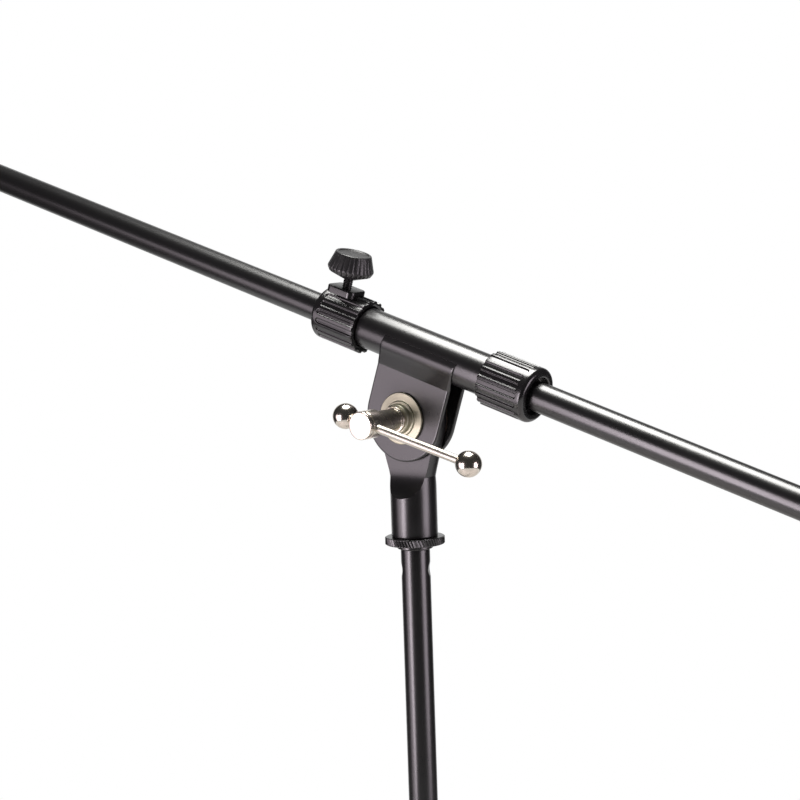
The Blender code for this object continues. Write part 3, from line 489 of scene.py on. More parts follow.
foot_bore = LEG_OD / 2 + FIT
foot_radius = foot_bore + FOOT_WALL
foot_tip = leg_tip + FOOT_END
foot_top = foot_tip - FOOT_LENGTH
foot_outline = [(0, leg_tip + SEAT, 0), (foot_bore, leg_tip + SEAT, 0), (foot_bore, foot_top, 0),
                (foot_radius, foot_top, 1.2 * MM)]
for ring in range(FOOT_RINGS):
    level = foot_top + GRIP_START + ring * GRIP_PITCH
    valley = foot_radius - GRIP_DEPTH
    foot_outline += [(foot_radius, level, 0.3 * MM), (valley, level + GRIP_FLANK, 0.3 * MM),
                     (valley, level + GRIP_WIDTH - GRIP_FLANK, 0.3 * MM),
                     (foot_radius, level + GRIP_WIDTH, 0.3 * MM)]
foot_outline += [(foot_radius, foot_tip, 1.6 * MM), (0, foot_tip, 0)]
for number, leg_frame in enumerate(leg_frames, start=1):
    foot = turned(foot_outline, 64)
    foot.transform(leg_frame)
    bmesh.ops.remove_doubles(foot, verts=foot.verts, dist=WELD)
    cut = cut_across(foot, 0, -1, clear_outer=True)
    rim = [e for e in cut["geom_cut"] if isinstance(e, bmesh.types.BMEdge)]
    bmesh.ops.holes_fill(foot, edges=rim, sides=0)
    make_piece("rubber_foot_%d" % number, [(foot, UPRIGHT)], rubber, "leg_%d" % number,
               ["foot_%d" % number])

# Mast: two drawn steel tubes, powder coated like the legs; the upper slides in the lower.
# Two crimps near the top pinch the upper tube onto the threaded stud inside it.
# A dull grey nylon bush, kept as its plain solid, guides the upper tube's foot.
LOWER_WALL = 1.6 * MM
LOWER_BOTTOM = 73.0 * MM
LOWER_LENGTH = 640.0 * MM
UPPER_OD = 16.0 * MM
CRIMP_DROP = 84.0 * MM
CRIMP_HEADING = math.radians(30.0)
CRIMP_DEPTH = 0.9 * MM
CRIMP_REACH = 3.0 * MM
CRIMP_ROWS = 16
CRIMP_SPAN = 2.5
lower_top = LOWER_BOTTOM + LOWER_LENGTH
lower = tube(LOWER_OD / 2, LOWER_WALL, LOWER_BOTTOM, lower_top, 96)
make_piece("lower_mast", [(lower, UPRIGHT)], satin_coat, "base", ["lower_mast_tube"])
upper_low, upper_high = (corner[2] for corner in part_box("upper_mast_tube"))
upper = tube(UPPER_OD / 2, TUBE_WALL, upper_low, upper_high, 144)
crimp_level = pivot.z - CRIMP_DROP
for row in range(-CRIMP_ROWS, CRIMP_ROWS + 1):
    cut_across(upper, crimp_level + row * CRIMP_REACH * CRIMP_SPAN / CRIMP_ROWS, 1)
crimps = []
for turn in (0.0, math.pi):
    spot = Vector((math.cos(CRIMP_HEADING + turn), math.sin(CRIMP_HEADING + turn), 0.0)) * (UPPER_OD / 2)
    crimps.append(spot + Z * crimp_level)
for vert in upper.verts:
    if math.hypot(vert.co.x, vert.co.y) > UPPER_OD / 2 - TUBE_WALL / 2:
        near = min((vert.co - crimp).length for crimp in crimps) / CRIMP_REACH
        vert.co.xy *= 1 - CRIMP_DEPTH / (UPPER_OD / 2) * math.exp(-near ** 4)
make_piece("upper_mast", [(upper, UPRIGHT)], satin_coat, "upper_mast", ["upper_mast_tube"])
nylon = finish("moulded_grey_nylon", "4a4a4a", "565656", roughness=(0.45, 0.6), cloud=6)
dress(("upper_tube_bush",), nylon)

# Ribbed collars: glossy black moulded plastic pushed over tube ends, one on the mast, two on the sleeve.
# Long channels with round ends stop short of a smooth rim; their edges catch the lamps as thin lines.
gloss_plastic = finish("gloss_black_moulded_plastic", "121112", "181718", roughness=(0.2, 0.26), cloud=12,
                       grain=1.4, relief=0.0, specular=0.9)
COLLAR_RADIUS = 15.0 * MM
COLLAR_LENGTH = 30.0 * MM
COLLAR_RIM = 4.4 * MM
COLLAR_ROUND = 2.6 * MM
COLLAR_LIP = 9.0 * MM
CHANNELS = 18
CHANNEL_HALF = 1.45 * MM
CHANNEL_DEPTH = 0.8 * MM
CHANNEL_EDGE = 0.6 * MM
STEPS_PER_CHANNEL = 24
CHANNEL_ROWS = 6
ROUND_END_ROWS = 14
ROUND_END_REACH = 1.3
MOUTH_DEPTH = 4.0 * MM
MOUTH_GAP = 2.0 * MM
MOUTH_ROUND = 0.8 * MM
COLLAR_EDGE = 0.4 * MM
SLEEVE_OD = 22.6 * MM
BOOM_OD = 16.0 * MM
channel_end = COLLAR_LENGTH - COLLAR_RIM - CHANNEL_HALF
collar_overlap = COLLAR_LENGTH - COLLAR_LIP - SEAT


def within(share):
    """A share held between zero and one."""
    return min(max(share, 0.0), 1.0)


def ease(share):
    """Smooth step from zero to one."""
    share = within(share)
    return share * share * (3 - 2 * share)


def channel_sink(angle, z):
    """How far a channel lowers the collar's skin at one angle and height."""
    pitch = 2 * math.pi / CHANNELS
    aside = abs((angle / pitch) % 1.0 - 0.5) * pitch * COLLAR_RADIUS
    beyond = max(z - channel_end, 0.0)
    outside = math.hypot(aside, beyond) - CHANNEL_HALF
    return CHANNEL_DEPTH * ease(0.5 - outside / CHANNEL_EDGE)


def collar_shell(bore, inner):
    """Collar along local Z from its open end, with channels pressed into the outer skin."""
    shoulder = COLLAR_LENGTH - COLLAR_LIP
    mouth = inner + MOUTH_GAP
    mouth_floor = COLLAR_LENGTH - MOUTH_DEPTH
    plain = [(bore, shoulder), (bore, COLLAR_EDGE), (bore + COLLAR_EDGE, 0.0),
             (COLLAR_RADIUS - CHANNEL_DEPTH - COLLAR_EDGE, 0.0)]
    ribbed = arc((COLLAR_RADIUS - COLLAR_EDGE, COLLAR_EDGE), COLLAR_EDGE, -math.pi / 2, 0.0, 3)
    for i in range(1, CHANNEL_ROWS):
        ribbed.append((COLLAR_RADIUS, COLLAR_EDGE + (channel_end - COLLAR_EDGE) * i / CHANNEL_ROWS))
    for i in range(ROUND_END_ROWS + 1):
        ribbed.append((COLLAR_RADIUS, channel_end + CHANNEL_HALF * ROUND_END_REACH * i / ROUND_END_ROWS))
    end = arc((COLLAR_RADIUS - COLLAR_ROUND, COLLAR_LENGTH - COLLAR_ROUND), COLLAR_ROUND, 0, math.pi / 2, 10)
    end += arc((mouth + MOUTH_ROUND, COLLAR_LENGTH - MOUTH_ROUND), MOUTH_ROUND, math.pi / 2, math.pi, 4)
    end += [(mouth, mouth_floor), (inner + COLLAR_EDGE, mouth_floor), (inner, mouth_floor - COLLAR_EDGE),
            (inner, shoulder)]
    steps = CHANNELS * STEPS_PER_CHANNEL
    loops = []
    for points, deep in ((plain, 0.0), (ribbed, 1.0), (end, 0.0)):
        for r, z in points:
            loops.append(ring_of(lambda a: r - deep * channel_sink(a, z), z, steps))
    return lofted(loops, closed=True)


BOSS_HALF_LENGTH = 9.2 * MM
BOSS_HALF_WIDTH = 7.2 * MM
BOSS_CORNER = 3.4 * MM
BOSS_ROOT = 11.6 * MM
BOSS_TOP = 16.9 * MM
BOSS_EDGE = 0.7 * MM


def boss_shell():
    """Oblong block with rounded corners and top edge that holds the captive nut."""
    flat_x = BOSS_HALF_LENGTH - BOSS_CORNER
    flat_y = BOSS_HALF_WIDTH - BOSS_CORNER
    corners = [(flat_x, -flat_y), (flat_x, flat_y), (-flat_x, flat_y), (-flat_x, -flat_y)]
    top_edge = arc((0.0, BOSS_TOP - BOSS_EDGE), BOSS_EDGE, 0.0, math.pi / 2, 4)
    loops = []
    for inset, z in [(0.0, BOSS_ROOT)] + [(BOSS_EDGE - r, z) for r, z in top_edge]:
        outline = []
        for quarter, corner in enumerate(corners):
            start = (quarter - 1) * math.pi / 2
            outline += arc(corner, BOSS_CORNER - inset, start, start + math.pi / 2, 8)
        loops.append([(x, y, z) for x, y in outline])
    return lofted(loops)


def make_collar(name, node, body, place, over, inside, seat=None):
    """Collar over one tube and round the tube inside it, with a boss where a thumbscrew has its seat."""
    shells = [(collar_shell(over / 2 + FIT, inside / 2 + FIT), place)]
    if seat is not None:
        shells.append((boss_shell(), seat))
    make_piece(name, shells, gloss_plastic, body, [node], smooth=50)


height_base = lower_top - collar_overlap
height_screw = joints["height_thumbscrew_turn"]
height_seat = frame_at(Vector(height_screw["pos_m"]), Vector(height_screw["axis"]), Z)
make_collar("height_clamp_collar", "height_collar", "base", Matrix.Translation(Z * height_base), LOWER_OD,
            UPPER_OD, height_seat)

# Thumbscrews: black-oxide steel screws moulded into fluted plastic hand knobs.
# The knob is a tapered drum of rounded lobes over a conical underside, with a raised rim round a sunken disc.
# The oxide is an even dark sheen, and the knob's plastic has a pebbled grain that breaks up the lamps.
black_oxide = finish("black_oxide_steel", "121112", "191818", roughness=(0.24, 0.3), cloud=5, grain=0.5,
                     relief=0.0, specular=1.0)
knob_plastic = finish("grained_black_plastic", "1a191a", "252425", roughness=(0.3, 0.42), cloud=3, grain=0.8,
                      relief=0.12, specular=0.8)
THUMB_RADIUS = 2.8 * MM
THUMB_PITCH = 1.0 * MM
THUMB_DEPTH = 0.5 * MM
ROWS_PER_TURN = 8
KNOB_UNDER = 22.3 * MM
KNOB_GRIP = 8.5 * MM
KNOB_HOLE = 2.9 * MM
KNOB_NECK_RADIUS = 4.4 * MM
KNOB_SKIRT_RADIUS = 11.8 * MM
KNOB_SKIRT = 3.1 * MM
KNOB_RADIUS = 13.0 * MM
KNOB_WIDEST = 5.4 * MM
KNOB_TOP_RADIUS = 10.0 * MM
KNOB_HEIGHT = 14.3 * MM
KNOB_RIM = 1.3 * MM
KNOB_DISH = 0.5 * MM
KNOB_LOBES = 24
LOBE_DEPTH = 0.45 * MM
STEPS_PER_LOBE = 12
LOBE_SHARPNESS = 2.5
LOBE_START = 7.92 * MM
LOBE_FADE = 2.5 * MM


def threaded_rod(radius, pitch, depth, low, high, steps=48):
    """A rod whose skin follows a helix of the given pitch, closed by flat ends."""
    rows = max(int((high - low) / pitch * ROWS_PER_TURN), ROWS_PER_TURN)
    loops = []
    for row in range(rows + 1):
        z = low + (high - low) * row / rows
        taper = min(min(z - low, high - z) / pitch, 1.0)
        loops.append(ring_of(lambda a: radius - depth * (
            1 - taper * abs(2 * ((z / pitch - a / (2 * math.pi)) % 1.0) - 1)), z, steps))
    return lofted(loops)


def knob_shell():
    """Fluted knob along local Z; grooves between the lobes run out on the underside and under the rim."""
    top = KNOB_UNDER + KNOB_HEIGHT
    hole_end = KNOB_UNDER + KNOB_GRIP
    inner_rim = KNOB_TOP_RADIUS - KNOB_RIM
    outline = soften([
        (KNOB_HOLE, KNOB_UNDER, 0), (KNOB_NECK_RADIUS, KNOB_UNDER, 0.3 * MM),
        (KNOB_SKIRT_RADIUS, KNOB_UNDER + KNOB_SKIRT, 0.9 * MM),
        (KNOB_RADIUS, KNOB_UNDER + KNOB_WIDEST, 1.6 * MM), (KNOB_TOP_RADIUS, top, 0.6 * MM),
        (inner_rim, top, 0.3 * MM), (inner_rim - KNOB_DISH, top - KNOB_DISH, 0.3 * MM),
        (0.0, top - KNOB_DISH, 0), (0.0, hole_end, 0), (KNOB_HOLE, hole_end, 0)], 4)
    loops = []
    for r, z in outline:
        below = (r - LOBE_START) / (KNOB_SKIRT_RADIUS - LOBE_START)
        under_rim = (top - z) / LOBE_FADE
        cut = LOBE_DEPTH * within(min(below, under_rim))
        loops.append(ring_of(lambda a: max(
            r - cut * (1 - abs(math.sin(KNOB_LOBES * a / 2))) ** LOBE_SHARPNESS, 0.0), z,
            KNOB_LOBES * STEPS_PER_LOBE))
    return lofted(loops, closed=True)


def thumbscrew(prefix, seat, body):
    """Screw and knob along the local Z of a seat, on their own body."""
    screw = threaded_rod(THUMB_RADIUS, THUMB_PITCH, THUMB_DEPTH, UPPER_OD / 2 + SEAT, KNOB_UNDER + KNOB_GRIP)
    make_piece(prefix + "_clamp_screw", [(screw, seat)], black_oxide, body, [prefix + "_thumbscrew"],
               smooth=60)
    make_piece(prefix + "_hand_knob", [(knob_shell(), seat)], knob_plastic, body, [prefix + "_knob"],
               smooth=45)


thumbscrew("height", height_seat, "height_screw")

# Lock ring: a turned steel ring on the mast stud, black oxide, tightened up against the socket by hand.
# Its edge is knurled with slanted ridges; a node tree repeats one ridge round the band.
# The ridges are drawn coarser than real ones, so that they show.
RING_RADIUS = 16.3 * MM
RING_BORE = 6.2 * MM
RING_BAND = 4.2 * MM
RING_NECK_RADIUS = 9.75 * MM
RING_EDGE = 0.35 * MM
KNURLS = 60
KNURL_SLANT = math.radians(21)
RIDGE_FLATTEN = 0.5
RIDGE_WIDTH = 1.1 * MM


def knurl_tree():
    """Node tree that stands slanted ridges round a circle."""
    tree = bpy.data.node_groups.new("slanted_knurl", 'GeometryNodeTree')
    inputs = (("Count", 'Int'), ("Radius", 'Float'), ("Ridge Length", 'Float'), ("Ridge Width", 'Float'),
              ("Slant", 'Float'), ("Height", 'Float'), ("Material", 'Material'))
    for name, kind in inputs:
        tree.interface.new_socket(name, in_out='INPUT', socket_type='NodeSocket' + kind)
    tree.interface.new_socket("Geometry", in_out='OUTPUT', socket_type='NodeSocketGeometry')
    given = add_node(tree, 'NodeGroupInput').outputs
    circle = add_node(tree, 'GeometryNodeMeshCircle', {"Vertices": given["Count"], "Radius": given["Radius"]})
    lift = add_node(tree, 'ShaderNodeCombineXYZ', {"Z": given["Height"]})
    raised = add_node(tree, 'GeometryNodeTransform', {
        "Geometry": circle.outputs[0], "Translation": lift.outputs[0]})
    size = add_node(tree, 'ShaderNodeCombineXYZ', {
        "X": given["Ridge Width"], "Y": given["Ridge Width"], "Z": given["Ridge Length"]})
    lean = add_node(tree, 'ShaderNodeCombineXYZ', {"X": given["Slant"]})
    ridge = add_node(tree, 'GeometryNodeMeshCube', {"Size": size.outputs[0]}).outputs[0]
    # A square bar stood on its corner and flattened makes a low ridge with two flanks, which then leans
    for change in ({"Rotation": (0.0, 0.0, math.pi / 4)}, {"Scale": (RIDGE_FLATTEN, 1.0, 1.0)},
                   {"Rotation": lean.outputs[0]}):
        ridge = add_node(tree, 'GeometryNodeTransform', {"Geometry": ridge, **change}).outputs[0]
    here = add_node(tree, 'GeometryNodeInputPosition')
    flat = add_node(tree, 'ShaderNodeVectorMath', {
        0: here.outputs[0], 1: (1.0, 1.0, 0.0)}, operation='MULTIPLY')
    outward = add_node(tree, 'FunctionNodeAlignRotationToVector', {"Vector": flat.outputs[0]}, axis='X')
    stand = add_node(tree, 'GeometryNodeInstanceOnPoints', {
        "Points": raised.outputs[0], "Instance": ridge, "Rotation": outward.outputs[0]})
    real = add_node(tree, 'GeometryNodeRealizeInstances', {"Geometry": stand.outputs[0]})
    dressed = add_node(tree, 'GeometryNodeSetMaterial', {
        "Geometry": real.outputs[0], "Material": given["Material"]})
    add_node(tree, 'NodeGroupOutput', {"Geometry": dressed.outputs[0]})
    return tree


def grown_by(tree, values):
    """Mesh that a node tree makes from its named inputs."""
    seed = linked("seed", bpy.data.meshes.new("seed"))
    modifier = seed.modifiers.new("nodes", 'NODES')
    modifier.node_group = tree
    for item in tree.interface.items_tree:
        if item.in_out == 'INPUT' and item.name in values:
            modifier[item.identifier] = values[item.name]
    bpy.context.view_layer.update()
    mesh = bpy.data.meshes.new_from_object(seed.evaluated_get(bpy.context.evaluated_depsgraph_get()))
    bpy.data.objects.remove(seed)
    shell = bmesh.new()
    shell.from_mesh(mesh)
    bpy.data.meshes.remove(mesh)
    return shell


ring_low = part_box("lock_ring")[0][2]
ring_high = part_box("lock_ring")[1][2]
band_low = ring_high - RING_BAND
ridge_rise = RIDGE_FLATTEN * RIDGE_WIDTH / math.sqrt(2.0)
band_radius = RING_RADIUS - ridge_rise
ring_shell = turned([
    (RING_BORE, ring_low, 0), (RING_NECK_RADIUS, ring_low, 0.4 * MM), (RING_NECK_RADIUS, band_low, 0.3 * MM),
    (band_radius, band_low, RING_EDGE), (band_radius, ring_high, RING_EDGE), (RING_BORE, ring_high, 0)], 144)
ridges = grown_by(knurl_tree(), {
    "Count": KNURLS, "Radius": band_radius, "Ridge Width": RIDGE_WIDTH,
    "Ridge Length": (RING_BAND - 2 * RING_EDGE) / math.cos(KNURL_SLANT), "Slant": KNURL_SLANT,
    "Height": band_low + RING_BAND / 2, "Material": black_oxide})
make_piece("knurled_lock_ring", [(ring_shell, UPRIGHT), (ridges, UPRIGHT)], black_oxide, "mast_lock_ring",
           ["lock_ring"])

# Swivel socket: turned steel bar, milled on two sides to a flat tongue that the clamp plates grip.
# The cutter leaves a hollow run-out where the flats end, which reads as a dark scoop.
SOCKET_RADIUS = 12.7 * MM
SOCKET_BOTTOM = -65.5 * MM
SOCKET_EDGE = 0.6 * MM
TAPER_END = -32.5 * MM
FLAT_END = -27.5 * MM
RUNOUT = 20.0 * MM
TONGUE_HALF = 4.5 * MM
TONGUE_RADIUS = 21.5 * MM
TONGUE_TIP = 0.4 * MM
TONGUE_EDGE = 1.0 * MM
FACE_POINTS = 12
SIDE_POINTS = 16
BELOW_SCOOP = (6.0 * MM, 1.0 * MM)
SCOOP_ROWS = 32
TAPER_ROWS = 12
ROUND_ROWS = 36
ROUND_SWEEP = math.pi / 2 + 0.3
taper = math.atan2(TONGUE_RADIUS - SOCKET_RADIUS, -TAPER_END)
taper_top = -TONGUE_RADIUS * math.sin(taper)
taper_width = TONGUE_RADIUS * math.cos(taper)
scoop_drop = math.sqrt(RUNOUT ** 2 - (RUNOUT + TONGUE_HALF - SOCKET_RADIUS) ** 2)


def socket_slice(z):
    """Outline of the socket at one level: a circle with its front and back planed off."""
    width = SOCKET_RADIUS
    if z >= taper_top:
        width = math.sqrt(max(TONGUE_RADIUS ** 2 - z ** 2, TONGUE_TIP ** 2))
    elif z >= TAPER_END:
        width += (taper_width - SOCKET_RADIUS) * (z - TAPER_END) / (taper_top - TAPER_END)
    below = min(max(FLAT_END - z, 0.0), scoop_drop)
    depth = min(TONGUE_HALF + RUNOUT - math.sqrt(RUNOUT ** 2 - below ** 2), SOCKET_RADIUS)
    corner = math.asin(depth / SOCKET_RADIUS)
    bulge = width - SOCKET_RADIUS
    edge = SOCKET_RADIUS * math.cos(corner) + bulge
    right = [(SOCKET_RADIUS * math.cos(a) + bulge, SOCKET_RADIUS * math.sin(a))
             for a in (corner * (2 * i / SIDE_POINTS - 1) for i in range(SIDE_POINTS + 1))]
    back = [(edge * (1 - 2 * i / FACE_POINTS), depth) for i in range(1, FACE_POINTS)]
    return right + back + [(-x, -y) for x, y in right] + [(-x, -y) for x, y in back]


levels = [FLAT_END - scoop_drop - below for below in BELOW_SCOOP]
levels += [FLAT_END - scoop_drop * i / SCOOP_ROWS for i in range(SCOOP_ROWS + 1)]
levels += [TAPER_END + (taper_top - TAPER_END) * i / TAPER_ROWS for i in range(TAPER_ROWS + 1)]
for i in range(1, ROUND_ROWS - 2):
    levels.append(TONGUE_RADIUS * math.sin(taper_top / TONGUE_RADIUS + i * ROUND_SWEEP / ROUND_ROWS))
levels.append(TONGUE_RADIUS)
loops = []
for inset, z in arc((SOCKET_EDGE, SOCKET_BOTTOM + SOCKET_EDGE), SOCKET_EDGE, 1.5 * math.pi, math.pi, 4):
    shrink = 1 - inset / SOCKET_RADIUS
    loops.append([(x * shrink, y * shrink, z) for x, y in socket_slice(SOCKET_BOTTOM)])
loops += [[(x, y, z) for x, y in socket_slice(z)] for z in sorted(set(levels))]
make_piece("swivel_socket_tongue", [(lofted(loops), Matrix.Translation(pivot))], satin_coat, "swivel",
           ["swivel_socket"], edge=TONGUE_EDGE, smooth=42)

# Boom clamp: a sleeve of drawn tube with two pressed steel cheek plates welded on, all powder coated.
# Each plate follows the sleeve, turns in at a soft bend and drops flat to a round foot about the pivot.
# A matt brown fibre disc, kept as its plain solid, lies between each plate and the socket's tongue.
SLEEVE_UP = 61.28 * MM
SLEEVE_DOWN = 66.18 * MM
SLEEVE_WALL = 1.6 * MM
SLEEVE_RISE = 37.8 * MM
DISC_THICK = 0.7 * MM
PLATE_THICK = 2.5 * MM
PLATE_HALF_WIDTH = 24.7 * MM
PLATE_ROUND_RISE = 0.7 * MM
PLATE_LEAN = math.radians(2.0)
PLATE_WRAP = math.radians(17.0)
PLATE_TURN = math.radians(28.0)
PLATE_BEND_DROP = 13.0 * MM
PLATE_BEND_TRIM = 1.2 * MM
PLATE_TOP_SHIFT = 2.9 * MM
PLATE_EDGE = 1.15 * MM
PLATE_MARGIN = 0.3 * MM
HUG_SHARE = 0.3
FLUSH_ROW = 6
WRAP_ROWS = 12
SLANT_SHARES = (0.3, 0.6, 0.9)
BEND_ROWS = 8
DROP_SHARES = (0.05, 0.5, 1.0)
SIDE_ROWS = 6
ROUND_FOOT_ROWS = 28
ROUND_FOOT_START = 1.5
ROUND_FOOT_END = math.radians(88.5)
PLATE_COLUMNS = 16
bend_row = WRAP_ROWS + len(SLANT_SHARES) + 1
plate_flat = TONGUE_HALF + SEAT + DISC_THICK + SEAT
plate_out = plate_flat + PLATE_THICK
front = Vector((0.0, -1.0, 0.0))
boom_up = front.cross(boom_along)
clamp_middle = pivot + boom_up * SLEEVE_RISE
along_boom = frame_at(clamp_middle, boom_along, boom_up)
sleeve = tube(SLEEVE_OD / 2, SLEEVE_WALL, -SLEEVE_UP, SLEEVE_DOWN, 144)
make_piece("boom_sleeve", [(sleeve, along_boom)], satin_coat, "clamp", ["sleeve_tube"])


def plate_section():
    """Inner face of a cheek plate from top edge to foot, as (height above pivot, distance out) vectors."""
    hug = SLEEVE_OD / 2 + SEAT
    points = [Vector((up, out)) for out, up in arc((0.0, 0.0), hug, PLATE_WRAP, -PLATE_TURN, WRAP_ROWS)]
    leave = points[-1]
    bend = Vector((-PLATE_BEND_DROP, plate_flat))
    first = bend + (leave - bend).normalized() * PLATE_BEND_TRIM
    last = bend - Vector((PLATE_BEND_TRIM, 0.0))
    points += [leave.lerp(first, share) for share in SLANT_SHARES]
    for i in range(BEND_ROWS + 1):
        share = i / BEND_ROWS
        points.append(first * (1 - share) ** 2 + bend * 2 * share * (1 - share) + last * share ** 2)
    foot = Vector((-SLEEVE_RISE - PLATE_HALF_WIDTH, plate_flat))
    points += [last.lerp(foot, share) for share in DROP_SHARES]
    return [point + Vector((SLEEVE_RISE, 0.0)) for point in points]


section = plate_section()
section_normals = []
for i in range(len(section)):
    run = section[min(i + 1, len(section) - 1)] - section[max(i - 1, 0)]
    section_normals.append(Vector((run.y, -run.x)).normalized())


def on_plate(along, height, depth, side):
    """Point of a plate at a place along the boom, a height above the pivot and a depth from its inner face.

    Where it hugs the sleeve the plate is thin, and its top edge is ground flush.
    Above the bend it leans further along the boom.
    """
    k = next((i for i in range(1, len(section) - 1) if section[i].x <= height), len(section) - 1)
    share = (section[k - 1].x - height) / (section[k - 1].x - section[k].x)
    flush = ease((section[0].x - height) / (section[0].x - section[FLUSH_ROW].x))
    full = within((section[WRAP_ROWS].x - height) / (section[WRAP_ROWS].x - section[bend_row].x))
    depth *= HUG_SHARE * flush + (1 - HUG_SHARE) * full
    normal = section_normals[k - 1].lerp(section_normals[k], share)
    spot = section[k - 1].lerp(section[k], share) + normal * depth
    rise = max((height - section[bend_row].x) / (section[0].x - section[bend_row].x), 0.0)
    return pivot + boom_along * (along + PLATE_TOP_SHIFT * rise) + boom_up * spot.x + front * (side * spot.y)


def plate_rows(inset):
    """Rows of a plate's outline drawn in by an inset, as (height, left end, right end), top to foot."""
    lean = math.tan(PLATE_LEAN)
    half = PLATE_HALF_WIDTH - inset
    side_half = half / math.cos(PLATE_LEAN)
    start = PLATE_ROUND_RISE + half * math.sin(PLATE_LEAN) * ROUND_FOOT_START
    straight = [section[0].x - inset] + [point.x for point in section[2:-3]]
    straight += [section[-4].x + (start - section[-4].x) * i / SIDE_ROWS for i in range(1, SIDE_ROWS)]
    first = math.asin((PLATE_ROUND_RISE - start) / half)
    turns = [first + (ROUND_FOOT_END - first) * i / ROUND_FOOT_ROWS for i in range(ROUND_FOOT_ROWS + 1)]
    foot = [PLATE_ROUND_RISE - half * math.sin(turn) for turn in turns]
    rows = []
    for height in straight + foot:
        ends = []
        for side in (-1, 1):
            above = height - PLATE_ROUND_RISE
            if above >= -side * half * math.sin(PLATE_LEAN):
                ends.append(side * side_half + height * lean)
            else:
                ends.append(PLATE_ROUND_RISE * lean + side * math.sqrt(half ** 2 - above ** 2))
        rows.append((height, *ends))
    return rows


def plate_shell(side):
    """Cheek plate: its two faces as grids, joined round the outline by loops that roll over both edges."""
    rolled = [(PLATE_EDGE + PLATE_MARGIN, PLATE_THICK)]
    for centre, start in ((PLATE_THICK - PLATE_EDGE, math.pi / 2), (PLATE_EDGE, 0.0)):
        turn = arc((0.0, centre), PLATE_EDGE, start, start - math.pi / 2, 5)
        rolled += [(PLATE_EDGE - reach, depth) for reach, depth in turn]
    rolled.append((PLATE_EDGE + PLATE_MARGIN, 0.0))
    bm = bmesh.new()
    loops = []
    for inset, depth in rolled:
        rows = plate_rows(inset)
        grid = [[on_plate(left + (right - left) * i / PLATE_COLUMNS, height, depth, side)
                 for i in range(PLATE_COLUMNS + 1)] for height, left, right in rows]
        loop = [(row, 0) for row in range(len(rows))]
        loop += [(len(rows) - 1, column) for column in range(1, PLATE_COLUMNS + 1)]
        loop += [(row, PLATE_COLUMNS) for row in range(len(rows) - 2, -1, -1)]
        loop += [(0, column) for column in range(PLATE_COLUMNS - 1, 0, -1)]
        spots = {(row, column): bm.verts.new(grid[row][column]) for row, column in loop}
        if inset > PLATE_EDGE:
            for row in range(1, len(rows) - 1):
                for column in range(1, PLATE_COLUMNS):
                    spots[row, column] = bm.verts.new(grid[row][column])
            for row in range(len(rows) - 1):
                for column in range(PLATE_COLUMNS):
                    bm.faces.new((spots[row, column], spots[row + 1, column],
                                  spots[row + 1, column + 1], spots[row, column + 1]))
        loops.append([spots[key] for key in loop])
    for near, far in zip(loops, loops[1:]):
        for i in range(len(near)):
            bm.faces.new((near[i - 1], near[i], far[i], far[i - 1]))
    return bm


for name, side in (("front", 1), ("rear", -1)):
    make_piece(name + "_cheek", [(plate_shell(side), UPRIGHT)], satin_coat, "clamp", [name + "_cheek_plate"],
               smooth=40)

fibre = finish("pressed_brown_fibre", "3a2c20", "4a3826", roughness=(0.7, 0.85), cloud=4, grain=0.4,
               relief=0.05)
dress(("front_friction_disc", "rear_friction_disc"), fibre)

# Boom collars: the upper one carries the thumbscrew, the lower one only guides the boom.
# Both are the same moulding as the mast's collar, pushed over the sleeve with their smooth rims outward.
upper_start = SLEEVE_UP - collar_overlap
lower_start = SLEEVE_DOWN - collar_overlap
half_channel = Matrix.Rotation(math.pi / CHANNELS, 4, 'Z')
upward = frame_at(clamp_middle - boom_along * upper_start, -boom_along, boom_up) @ half_channel
downward = frame_at(clamp_middle + boom_along * lower_start, boom_along, boom_up)
boom_seat = frame_at(Vector(joints["boom_thumbscrew_turn"]["pos_m"]), boom_up, boom_along)
make_collar("upper_boom_collar", "boom_clamp_collar", "clamp", upward, SLEEVE_OD, BOOM_OD, boom_seat)
make_collar("lower_boom_collar", "boom_guide_collar", "clamp", downward, SLEEVE_OD, BOOM_OD)
thumbscrew("boom", boom_seat, "boom_screw")

# Handle screw: turned steel, nickel plated, through a flanged washer to a nut behind.
# A loose bar with a ball pressed on each end slides through its head.
# The plating has a warm cast: near mirror bright on the balls, softer on screw and bar, satin on the washer.


def plated(name, base, tones, roughness, cloud=12, grain=8):
    """Nickel plate: smooth metal whose gloss varies in broad patches."""
    return finish(name, base, tones, metallic=1.0, roughness=roughness, cloud=cloud, grain=grain, relief=0.0)


nickel = plated("bright_nickel_plate", "dcd3c6", "e8e0d5", (0.16, 0.2))
turned_nickel = plated("turned_nickel_plate", "dad2c5", "e4ddd1", (0.24, 0.3))
drawn_nickel = plated("drawn_nickel_plate", "cdc7bb", "d6d1c6", (0.34, 0.4))
satin_nickel = plated("satin_nickel_plate", "b0ad98", "b8b5a2", (0.4, 0.46), cloud=8, grain=3)
SCREW_RADIUS = 4.0 * MM
CLAMP_BORE = 4.2 * MM
WASHER_THICK = 1.6 * MM
WASHER_RADIUS = 14.2 * MM
TIER_RADIUS = 9.6 * MM
TIER_RISE = 1.2 * MM
BOSS_RADIUS = 8.2 * MM
BOSS_LENGTH = 4.5 * MM
NECK_RADIUS = 6.2 * MM
NECK_RING_RADIUS = 7.2 * MM
NECK_RING_LENGTH = 1.8 * MM
T_HEAD_RADIUS = 7.6 * MM
T_HEAD_NEAR = 32.5 * MM
T_HEAD_FACE = 45.0 * MM
GROOVE_DROP = 2.6 * MM
GROOVE_WIDTH = 0.9 * MM
GROOVE_DEPTH = 0.45 * MM
SCREW_TAIL = 2.0 * MM
REAR_NUT_ACROSS = 13.0 * MM
REAR_NUT_THICK = 6.5 * MM
out_of_clamp = frame_at(pivot, front, boom_along)
washer_low = plate_out + SEAT
washer_high = washer_low + WASHER_THICK
